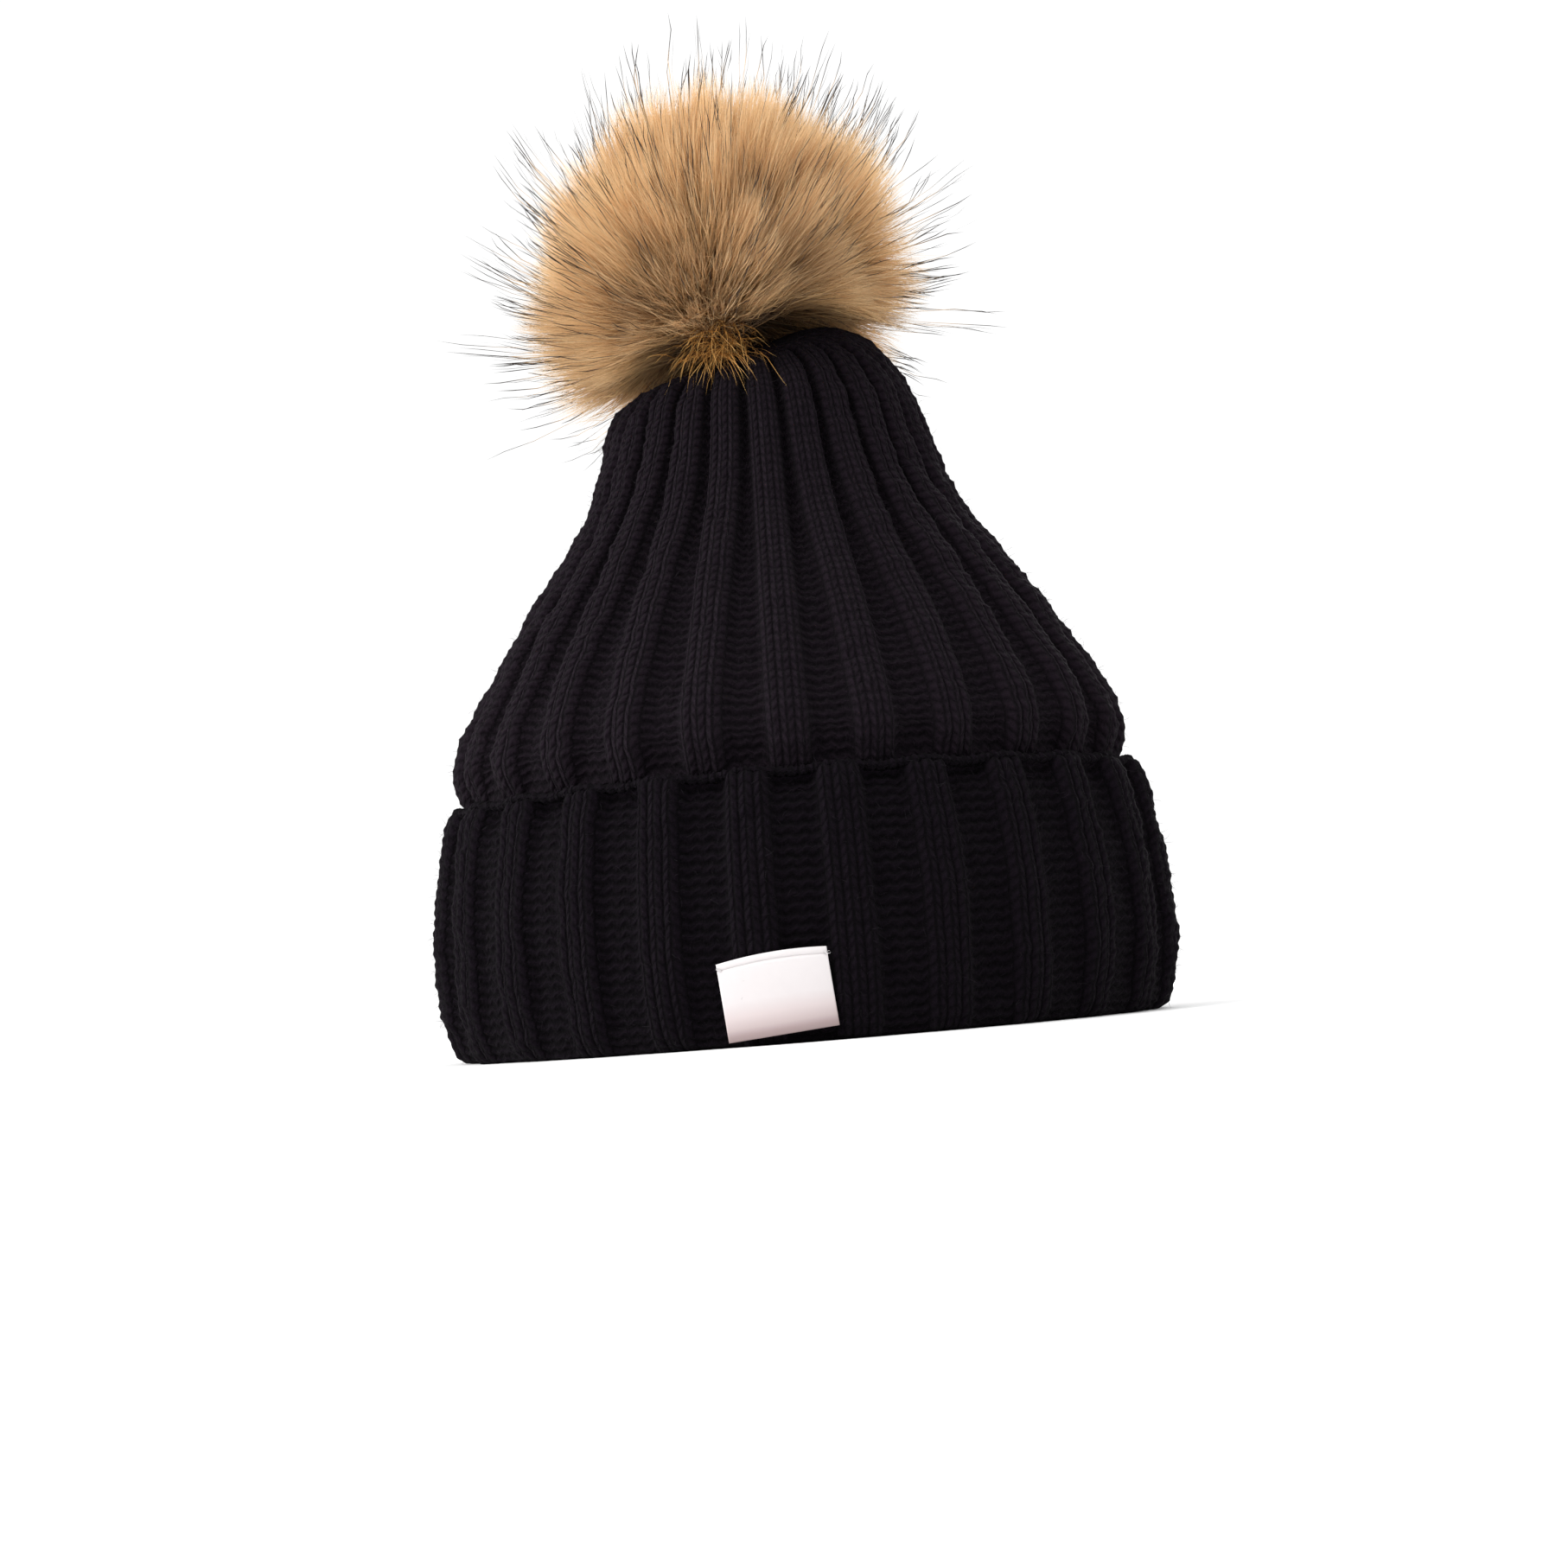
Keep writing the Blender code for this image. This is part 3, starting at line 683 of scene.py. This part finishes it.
def furPaths(tips, ways, comb):
    # A strand is the curve of three controls: its root near the middle, turned towards the base by
    # the comb times the sine of its angle, a bend two thirds out, and its tip. Slow waves push its
    # outer half aside, and its weight lowers it, both by the square of the way along it. On the lower
    # right its end hangs over the crown's shoulder, by the cube of the way.
    pole = unit(fur["base"] - fur["centre"])
    away = tips - fur["centre"]
    reach = np.linalg.norm(away, axis=1, keepdims=True)
    along = away / reach
    angle = np.arccos(np.clip(along @ pole, -1, 1))[:, None]
    side = unit(along - (along @ pole)[:, None] * pole)
    rootAngle = angle - comb * np.sin(angle)
    rootDistance = fur["rootNear"] + (fur["rootFar"] - fur["rootNear"]) * np.cos(rootAngle).clip(0, 1) ** 2
    bendAngle = rootAngle + fur["bendTurn"] * (angle - rootAngle)
    root = fur["centre"] + rootDistance * (pole * np.cos(rootAngle) + side * np.sin(rootAngle))
    bend = fur["centre"] + fur["bendReach"] * reach * (pole * np.cos(bendAngle) + side * np.sin(bendAngle))
    t = ways[:, None]
    paths = (1 - t) ** 2 * root[:, None] + 2 * t * (1 - t) * bend[:, None] + t**2 * tips[:, None]
    aside = np.sin(along @ fur["bends"][:, 3:6].T + fur["bends"][:, 6]) @ fur["bends"][:, :3]
    paths += fur["swirl"] * aside[:, None] * t**2
    out = np.linalg.norm(away[:, :2], axis=1)[:, None]
    paths[:, :, 2] -= fur["sag"] * out * ways**2
    hangFrom, hangOver = fur["hangFrom"]
    hanging = smoothStep((along @ unit(fur["hangTowards"]) - hangFrom) / hangOver)[:, None]
    paths[:, :, 2] -= fur["hang"] * hanging * ways**3
    return paths


def aboveSkirt(paths):
    # The coat's lower edge in front: it hangs down on the left, and on the right it stays behind the
    # crown's peak, so strands in front of the gather that reach lower are left out.
    x, y, z = np.moveaxis(paths[:, 1:], -1, 0)
    return ((z > np.interp(x, *fur["skirt"].T)) | (y > fur["skirtDepth"])).all(axis=1)


def settleOn(outer):
    # The height of the crown's surface over a plan of small squares
    cell = 2.0
    size = 120
    clearance = 0.8
    heights = np.full((size, size), -1e3)
    places = outer.reshape(-1, 3)
    i, j = (np.floor(places[:, :2] / cell).astype(int) + size // 2).T
    np.maximum.at(heights, (i, j), places[:, 2])

    def settle(paths):
        # Lifts strands that dip into the knit, and says which are kept
        i, j = np.moveaxis((np.floor(paths[..., :2] / cell).astype(int) + size // 2).clip(0, size - 1), -1, 0)
        lift = (heights[i, j] + clearance - paths[..., 2]).clip(0, None)
        lift[:, 0] = 0
        paths[..., 2] += np.minimum(lift, fur["liftMost"])
        return (lift.max(axis=1) < fur["liftMost"]) & aboveSkirt(paths)

    return settle


furLooks = {
    "coatFur": {
        # from root to tip: dark at the root, partly the fur's own colour and partly painted shade deep in the
        # coat
        "along": [(0.0, (0.07, 0.036, 0.016)), (0.38, (0.24, 0.134, 0.061)), (0.72, (0.78, 0.515, 0.257)),
                  (1.0, (0.97, 0.765, 0.50))],
        "tones": [(0.0, (0.33, 0.258, 0.215)), (0.3, (0.66, 0.565, 0.485)), (0.6, (1.0, 0.97, 0.90)),
                  (1.0, (1.0, 1.0, 0.96))],
        "glows": [(0.07, 0.038, 0.019), (0.80, 0.55, 0.31)], "through": 0.45},
    "undercoatFur": {
        "along": [(0.0, (0.04, 0.023, 0.012)), (0.5, (0.15, 0.093, 0.052)), (1.0, (0.36, 0.24, 0.145))],
        "tones": [(0.0, (0.55, 0.5, 0.48)), (1.0, (1.0, 1.0, 1.0))],
        "glows": [(0.04, 0.024, 0.015), (0.32, 0.215, 0.135)], "through": 0.4},
    "guardFur": {
        "along": [(0.0, (0.30, 0.19, 0.10)), (0.76, (0.72, 0.48, 0.26)), (0.86, (0.030, 0.022, 0.018)),
                  (1.0, (0.005, 0.004, 0.006))],
        "tones": [(0.0, (0.6, 0.6, 0.6)), (1.0, (1.0, 1.0, 1.0))],
        "glows": [(0.30, 0.19, 0.10), (0.005, 0.004, 0.006)], "through": 0.06},
    "baseFur": {
        "along": [(0.0, (0.34, 0.155, 0.035)), (0.5, (0.84, 0.42, 0.105)), (1.0, (0.98, 0.66, 0.26))],
        "tones": [(0.0, (0.34, 0.28, 0.24)), (1.0, (1.0, 1.0, 1.0))],
        "glows": [(0.30, 0.14, 0.03), (0.9, 0.50, 0.15)], "through": 0.3},
}


def furFinish(name, look):
    # The colour follows the way along a strand, times the strand's own tone; in the coat its darkness near
    # the roots is partly the fur's own colour and partly painted shade deep among the strands. Part of the
    # light that comes out has passed through: dark near the roots, and light near the tips.
    finish = Finish(name)
    tone, way = finish.uv("OFBake")
    colour = finish.blend(1.0, finish.ramp(way, look["along"]), finish.ramp(tone, look["tones"]), "MULTIPLY")
    hair = finish.surface(colour, 0.55, 0.25)
    first, second = [finish.node("ShaderNodeBsdfTranslucent", {}, {"Color": asColour(glow)})
                     for glow in look["glows"]]
    glow = finish.node("ShaderNodeMixShader", {}, {0: way * tone * 1.5, 1: first, 2: second})
    both = finish.node("ShaderNodeMixShader", {}, {0: look["through"], 1: hair, 2: glow})
    return finish.finished(both)


backing = {
    "centre": (-12.0, -5.0, 227.0),
    "halfSizes": (23.0, 22.0, 17.0),
    "rows": 22,
    "columns": 36,
    "tones": (0.05, 0.15),  # the part of the undercoat's tones that it shows,
    "ways": (0.0, 0.2),  # and the part of a strand's colours
}


def makeBacking(material):
    # The ball of stuffed cloth that the fur grows on: an oval turned round its upright axis
    rows, columns = backing["rows"], backing["columns"]
    up = np.linspace(-math.pi / 2, math.pi / 2, rows + 2)[1:-1, None]
    around = np.arange(columns) * turn / columns
    flat = np.cos(up)
    ball = np.stack((flat * np.sin(around), -flat * np.cos(around), np.sin(up) + 0 * around), axis=2)
    poles = np.array(((0, 0, -1), (0, 0, 1))) * backing["halfSizes"] + backing["centre"]
    u, v = np.meshgrid(np.linspace(*backing["tones"], columns + 1), np.linspace(*backing["ways"], rows + 1))
    gridPiece("furBacking", ball * backing["halfSizes"] + backing["centre"],
              {"OFBake": np.stack((u, v), axis=2)}, material, ends=poles)


coat = {
    "pieces": "ABC",
    "strands": 34000,  # in each piece
    "clumps": 1800,
    "clumpShort": 0.06,  # how much shorter a clump can be
    "clumpSize": 0.06,  # the angle between its strands,
    "clumping": 0.34,  # and how far their ends lean together
    "tufts": 170,  # groups of clumps that lean together,
    "tuftJitter": 1.4,  # how unevenly they are spread,
    "tufting": 0.22,  # and how far they lean
    "tuftReach": (0.99, 1.03),
    "tuftPoint": 1.3,  # how much shorter a tuft's sides are
    "longest": 1.015,  # share of the way out,
    "shorter": 0.31,  # how much less the shortest has,
    "mostlyLong": 1.4,  # and above 1 most are long
    "combs": (0.75, 1.1),
    "tone": 0.69,
    "toneSpread": (0.06, 0.10),  # of the clumps, and of the strands in one
    # directions in which the coat is grey-brown, how much darker it is there, and how far round
    "patches": np.array([
        (-0.56, -0.77, -0.30, 0.34, 0.19), (-0.34, -0.92, -0.05, 0.24, 0.19),
        (0.02, -0.97, -0.24, 0.16, 0.34), (0.52, -0.83, -0.14, 0.30, 0.26), (0.45, 0.85, -0.20, 0.34, 0.22),
        (-0.50, 0.80, 0.05, 0.26, 0.19), (-0.92, 0.15, -0.20, 0.30, 0.19), (0.90, 0.20, -0.10, 0.30, 0.19)]),
    "lowerDarker": 0.14,  # how much darker the lower half is
    "strays": 0.07,  # share of the strands that cross the others,
    "strayLoose": 2.2,  # and how much more they wander
    "ways": np.array((0.0, 0.4, 0.72, 1.0)),
    "loose": np.array((0.0, 1.2, 1.0, 0.7)),  # how far a strand wanders at each of these
    "widths": np.array((0.25, 0.27, 0.18, 0.0)),
    "widthRange": (0.7, 1.25),
}


def makeCoat(material, settle, rng):
    # Fine silky strands in small clumps, each a share of the way out to the coat's surface. The clumps
    # nearest to a tuft lean towards it, and are shorter by one less the cosine of their angle from it.
    clumps = spread(coat["clumps"], rng)
    tufts = spread(coat["tufts"], rng, coat["tuftJitter"])
    nearness = clumps @ tufts.T
    nearest = nearness.argmax(axis=1)
    reach = rng.uniform(*coat["tuftReach"], coat["tufts"])[nearest]
    reach -= coat["tuftPoint"] * (1 - nearness.max(axis=1))
    clumps = unit(clumps + coat["tufting"] * (tufts[nearest] - clumps))
    clumpShare = (1 - coat["clumpShort"] * (1 - rng.random(coat["clumps"]))) * reach
    darker, size = coat["patches"][:, 3:].T
    apart = np.arccos((clumps @ unit(coat["patches"][:, :3]).T).clip(-1, 1)) / size
    clumpSpread, strandSpread = coat["toneSpread"]
    clumpTone = clumpSpread * rng.normal(size=coat["clumps"]) - (darker * np.exp(-apart**2)).max(axis=1)
    clumpTone += coat["tone"] - coat["lowerDarker"] * smoothStep(0.5 - clumps[:, 2])
    for number, letter in enumerate(coat["pieces"]):
        mine = rng.integers(coat["clumps"], size=coat["strands"])
        own = unit(clumps[mine] + rng.normal(size=(len(mine), 3)) * coat["clumpSize"])
        shorter = coat["shorter"] * rng.random(len(mine)) ** coat["mostlyLong"]
        share = clumpShare[mine] * (coat["longest"] - shorter)
        tips = coatTips(own, share)
        tips += coat["clumping"] * (coatTips(clumps[mine], share) - tips)
        paths = furPaths(tips, coat["ways"], fur["comb"] * rng.uniform(*coat["combs"], (len(mine), 1)))
        loose = 1 + coat["strayLoose"] * (rng.random((len(mine), 1, 1)) < coat["strays"])
        paths += loose * rng.normal(size=paths.shape) * coat["loose"][:, None]
        kept = settle(paths)
        widths = coat["widths"] * rng.uniform(*coat["widthRange"], (len(mine), 1))
        tones = (clumpTone[mine] + strandSpread * rng.normal(size=len(mine))).clip(*fur["toneRange"])
        piece = ribbonMesh("furCoat" + letter, paths[kept], widths[kept], tones[kept], material,
                           coat["ways"], number)
        if number == 0:
            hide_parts("pompom")


undercoat = {
    "strands": 20000,
    "shares": (0.5, 0.80),  # of the way out
    "combs": (0.5, 1.0),
    "ways": np.array((0.0, 0.6, 1.0)),
    "loose": np.array((0.0, 2.0, 2.5)),
    "widths": np.array((0.36, 0.30, 0.0)),
}


def makeUndercoat(material, settle, rng):
    # Shorter woolly strands that fill the coat and show through in front near the base
    own = spread(undercoat["strands"], rng)
    tips = coatTips(own, rng.uniform(*undercoat["shares"], len(own)))
    paths = furPaths(tips, undercoat["ways"], rng.uniform(*undercoat["combs"], (len(own), 1)))
    paths += rng.normal(size=paths.shape) * undercoat["loose"][:, None]
    kept = settle(paths)
    widths = undercoat["widths"] * np.ones((len(own), 1))
    tones = rng.uniform(*fur["toneRange"], len(own))
    ribbonMesh("furUndercoat", paths[kept], widths[kept], tones[kept], material, seed=5)


guard = {
    "tufts": 540,
    "mostHairs": 8,  # in a tuft
    "tuftSize": 0.05,  # the angle between its hairs
    "reach": 1.04,  # share of the way out,
    "further": 0.28,  # how much more the longest has,
    "mostlyShort": 1.6,  # and above 1 most are short
    "shorter": 0.10,  # how much shorter a single hair can be
    "past": 16.0,  # how far above the solids they may reach
    "aside": 3.0,  # how far whole tufts lean
    "ways": np.array((0.0, 0.5, 0.80, 0.92, 1.0)),
    "loose": np.array((0.0, 0.5, 0.5, 0.2, 0.4)),
    "widths": np.array((0.10, 0.12, 0.19, 0.22, 0.0)),
    "widthRange": (0.7, 1.3),
}


def makeGuardHairs(material, settle, rng):
    # Long hairs with dark ends, in small tufts that lie side by side and reach past the coat
    tufts = spread(guard["tufts"], rng)
    each = rng.integers(1, guard["mostHairs"] + 1, size=len(tufts))
    mine = np.repeat(np.arange(len(tufts)), each)
    own = unit(tufts[mine] + rng.normal(size=(len(mine), 3)) * guard["tuftSize"])
    tuftReach = guard["reach"] + guard["further"] * rng.random(len(tufts)) ** guard["mostlyShort"]
    reach = tuftReach[mine] * (1 - guard["shorter"] * rng.random(len(mine)))
    ways = guard["ways"]
    paths = furPaths(coatTips(own, reach), ways, fur["comb"] * np.ones((len(mine), 1)))
    paths += (rng.normal(size=(len(tufts), 1, 3)) * guard["aside"])[mine] * ways[:, None] ** 2
    paths += rng.normal(size=paths.shape) * guard["loose"][:, None]
    low = paths[:, -1, 2] < cadHigh[2] / mm + guard["past"]
    kept = settle(paths) & low
    widths = guard["widths"] * rng.uniform(*guard["widthRange"], (len(mine), 1))
    tones = rng.uniform(*fur["toneRange"], len(mine))
    ribbonMesh("furGuardHairs", paths[kept], widths[kept], tones[kept], material, ways, 6)


baseHairs = {
    "count": 460,
    "middle": -11.0,  # how far to the right they are
    # how far they start and point to both sides of that, and the ranges to the back and up
    "start": (4.0, (-36.0, -27.0), (192.0, 203.0)),
    "heading": (0.6, (-1.1, -0.3), (-0.8, 0.7)),
    "fan": 12.0,  # a hair this far from the middle leans outward by 45 degrees
    "lengths": (3.0, 13.0),
    "droop": 0.6,  # of a hair's end, as a share of its length
    "walk": 0.28,  # how far each step along a hair goes astray
    "knitFace": np.array([(178.0, -45.5), (190.0, -39.0), (196.0, -30.0)]),  # heights and places along
    "widths": np.array((0.12, 0.15, 0.15, 0.14, 0.11, 0.0)),
    "widthRange": (0.7, 1.2),
}


def makeBaseHairs(material, rng):
    # Short bent amber hairs that fall over the crown's front edge from under the coat: a heading, a
    # droop by the square of the way along, and a random walk
    count = baseHairs["count"]
    start, heading = [np.stack((across * rng.normal(size=count), rng.uniform(*back, count),
                                rng.uniform(*up, count)), axis=1)
                      for across, back, up in (baseHairs["start"], baseHairs["heading"])]
    heading[:, 0] += start[:, 0] / baseHairs["fan"]
    start[:, 0] += baseHairs["middle"]
    shortest, longest = baseHairs["lengths"]
    length = shortest + (longest - shortest) * rng.random((count, 1, 1)) ** 2
    t = np.linspace(0, 1, len(baseHairs["widths"]))[:, None]
    paths = start[:, None] + unit(heading)[:, None] * length * t
    paths[:, :, 2] -= (baseHairs["droop"] * length * t**2)[:, :, 0]
    paths += np.cumsum(rng.normal(size=paths.shape) * baseHairs["walk"], axis=1)
    front = np.interp(paths[:, :, 2], *baseHairs["knitFace"].T)
    paths[:, 1:, 1] = np.minimum(paths[:, 1:, 1], front[:, 1:])
    widths = baseHairs["widths"] * rng.uniform(*baseHairs["widthRange"], (count, 1))
    ribbonMesh("furBase", paths, widths, rng.uniform(*fur["toneRange"], count), material, seed=8)


def makeFur(settle):
    rng = np.random.default_rng(7)
    tan, grey, dark, amber = [furFinish(name, look) for name, look in furLooks.items()]
    makeBacking(grey)
    makeCoat(tan, settle, rng)
    makeUndercoat(grey, settle, rng)
    makeGuardHairs(dark, settle, rng)
    makeBaseHairs(amber, rng)


# The label

label = {
    "width": 28.0,
    "height": 20.0,
    "thickness": 0.8,
    "x": -8.0,
    "middleHeight": 12.6,
    "turn": math.radians(5.0),
    "fall": 0.12,  # how fast its free end falls back towards the cuff
    "hem": 0.085,  # share of the height above the sewn line
    "bow": 0.9,  # how far the middle of its upper edge is lifted
    "grid": (60, 84),
    "gap": 0.3,
    "press": 1.5,  # how far round it the knit is pressed flat
    "proud": 0.2,
    "sewn": (0.35, 0.014),  # depth of the sewn line, and width as a share of the height
    "roll": (0.15, 0.02, 0.47),  # height and width of the roll above it, and its place
    "swell": 0.3,  # of the free part
    "sideFall": 0.15,  # of the two cut sides
    "threads": (150, 110),  # of the weave, across and up
    # from the free edge up: greyer and pinker towards the free edge, painted shade where it curves under,
    # tinted pink as painted reflected light
    "stops": [(0.0, (0.25, 0.182, 0.180)), (0.07, (0.315, 0.238, 0.235)), (0.15, (0.455, 0.372, 0.370)),
              (0.30, (0.58, 0.505, 0.502)), (0.48, (0.645, 0.605, 0.606)), (1.0, (0.67, 0.640, 0.642))],
    "worn": (0.45, 0.42, 0.43),
}


def labelFinish():
    # White satin, fine threads both ways, a little greyer and pinker towards its free edge, as painted shade
    # with a painted pink reflection
    finish = Finish("labelSatin")
    u, v = finish.uv("weave")
    across, up = label["threads"]
    threads = (u * across).wave() * 0.5 + (v * up).wave() * 0.5
    cloth = finish.noise(400.0, 3.0)
    # painted shade and painted reflection: the ramp darkens and pinks the satin towards its free edge
    colour = finish.blend(cloth * 0.12, finish.ramp(v, label["stops"]), label["worn"])
    bump = finish.bump(threads * 0.4 + cloth * 0.6, 0.05 * mm)
    return finish.finished(finish.surface(colour, 0.5, 0.2, {"Normal": bump}))


def labelPlace(across, up, out):
    # From places on the flat label to places on the cuff: turned a little, bent round the cuff's oval,
    # and standing off it by what the cuff's face, or the label's own fall from its seam, asks.
    rings = cuff["rings"][:8]  # those under the upper edge
    x = label["x"] + across * math.cos(label["turn"]) - up * math.sin(label["turn"])
    z = label["middleHeight"] + across * math.sin(label["turn"]) + up * math.cos(label["turn"])
    reach = np.maximum(np.interp(z, rings[:, 0], rings[:, 2]),
                       rings[:, 2].max() - label["fall"] * (label["height"] - z)) + label["gap"] + out
    return np.stack((x, -reach * np.sqrt(1 - (x / rings[:, 1].max()) ** 2), z), axis=-1)


def makeLabel():
    # A sewn line pressed in below the upper edge, a soft roll above it, and a free lower part that
    # swells a little, by a sine across it. The upper edge is bowed, by a square of the way across.
    rows, columns = label["grid"]
    up, across = np.meshgrid(np.linspace(-0.5, 0.5, rows), np.linspace(-0.5, 0.5, columns), indexing="ij")
    depth, width = label["sewn"]
    sewn = depth * np.exp(-((up - 0.5 + label["hem"]) / width) ** 2)
    height, width, middle = label["roll"]
    roll = height * np.exp(-((up - middle) / width) ** 2)
    swell = label["swell"] * np.sin(4.0 * across + 1.0) * (0.5 - up)
    out = label["proud"] - sewn + roll + swell - label["sideFall"] * (2 * across) ** 8
    bow = label["bow"] * (1 - (2 * across) ** 2) * smoothStep(up + 0.5)
    points = labelPlace(across * label["width"], up * label["height"] + bow, out)
    places = np.stack((across + 0.5, up + 0.5), axis=2)
    piece = gridPiece("labelSheet", points, {"weave": places, "OFBake": places}, labelFinish(),
                      roundAcross=False)
    wall = piece.modifiers.new("Folded double", "SOLIDIFY")
    wall.thickness = label["thickness"] * mm
    wall.offset = 1.0
    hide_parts("label")
    makeThreadEnds()


threadEnds = {
    "count": 12,
    "walk": 0.28,  # how far each step along a thread goes astray
    "drift": (0.3, 0.15),  # how far each goes outward, and up
    "fromSide": 0.8,
    "out": (1.1, 0.5),  # where a thread starts, and how much its walk takes it further out
    "widths": np.array((0.22, 0.22, 0.2, 0.18, 0.0)),
    "colour": (0.62, 0.60, 0.60),
}


def makeThreadEnds():
    # Cut ends of the sewing thread at the label's upper corners: a random walk away from each corner
    rng = np.random.default_rng(21)
    count = threadEnds["count"]
    side = np.repeat((-1.0, 1.0), count // 2)
    sideways, upward = threadEnds["drift"]
    steps = rng.normal(size=(count, len(threadEnds["widths"]), 3)) * threadEnds["walk"]
    steps += np.stack((side * sideways, 0 * side, upward + 0 * side), axis=1)[:, None]
    walk = np.cumsum(steps, axis=1) - steps[:, :1]
    across = side[:, None] * (label["width"] / 2 - threadEnds["fromSide"]) + walk[:, :, 0]
    start, further = threadEnds["out"]
    paths = labelPlace(across, label["height"] * (0.5 - label["hem"]) + walk[:, :, 2],
                       start + further * np.abs(walk[:, :, 1]))
    thread = plainFinish("labelThread", threadEnds["colour"], 0.6, 0.2)
    widths = threadEnds["widths"] * np.ones((count, 1))
    ribbonMesh("labelThread", paths, widths, rng.uniform(0.1, 0.9, count), thread)


# Studio, in metres

studio = {
    "floorRadius": 5.0,
    "floorSides": 96,
    "floorColour": (0.96, 0.96, 0.96),
    "skyStrength": 1.05,
    "lampSize": 0.9,
    # name, place, the point it shines at, power
    "lamps": [("key", (-0.9, -1.1, 1.2), (0, 0, 0.15), 16.0), ("side", (-1.5, -0.2, 0.5), (0, 0, 0.15), 14.0),
              ("back", (0.5, 1.3, 1.0), (0, 0, 0.2), 11.0)],
    "cameraPlace": Vector((0.0, -0.9, 0.014)),
    "lookAt": Vector((-0.0025, 0.0, 0.073)),
    "roll": math.radians(-4.6),
    "lens": 71.5,
}


def addToScene(name, data):
    made = bpy.data.objects.new(name, data)
    bpy.context.scene.collection.objects.link(made)
    return made


def aimed(place, target):
    return (Vector(target) - Vector(place)).to_track_quat("-Z", "Y")


def makeStudio():
    spokes = np.arange(studio["floorSides"]) * turn / studio["floorSides"]
    mesh = bpy.data.meshes.new("floor")
    rim = np.stack((np.cos(spokes), np.sin(spokes), 0 * spokes), axis=1) * studio["floorRadius"]
    mesh.from_pydata(rim.tolist(), [], [list(range(len(rim)))])
    mesh.materials.append(plainFinish("floorPaper", studio["floorColour"], 0.9, 0.1))
    floor = addToScene("floor", mesh)

    world = bpy.data.worlds.new("softbox")
    bpy.context.scene.world = world
    world.use_nodes = True
    sky = world.node_tree.nodes["Background"].inputs
    sky["Color"].default_value = (1.0, 1.0, 1.0, 1.0)
    sky["Strength"].default_value = studio["skyStrength"]
    for name, place, target, power in studio["lamps"]:
        light = bpy.data.lights.new(name, "AREA")
        light.shape = "DISK"
        light.size = studio["lampSize"]
        light.energy = power
        lamp = addToScene(name, light)
        lamp.location = place
        lamp.rotation_euler = aimed(place, target).to_euler()

    lens = bpy.data.cameras.new("camera")
    lens.lens = studio["lens"]
    lens.clip_start = 0.01
    lens.clip_end = 50.0
    camera = addToScene("camera", lens)
    camera.location = studio["cameraPlace"]
    camera.rotation_mode = "QUATERNION"
    roll = Quaternion((0, 0, 1), studio["roll"])
    camera.rotation_quaternion = aimed(studio["cameraPlace"], studio["lookAt"]) @ roll
    bpy.context.scene.camera = camera
    bpy.context.scene.view_settings.view_transform = "Standard"


makeStudio()
print("studio: floor, lights and camera")
crownOuter = makeCrown()
cuffFace = makeCuff()
makeFluff((crownOuter[fluff["crownRows"]], cuffFace[fluff["cuffRows"]]))
print("knit: crown, cuff and their fluff")
makeLabel()
print("label: sewn on")
makeFur(settleOn(crownOuter))
print("fur: coat, undercoat, guard hairs and base")
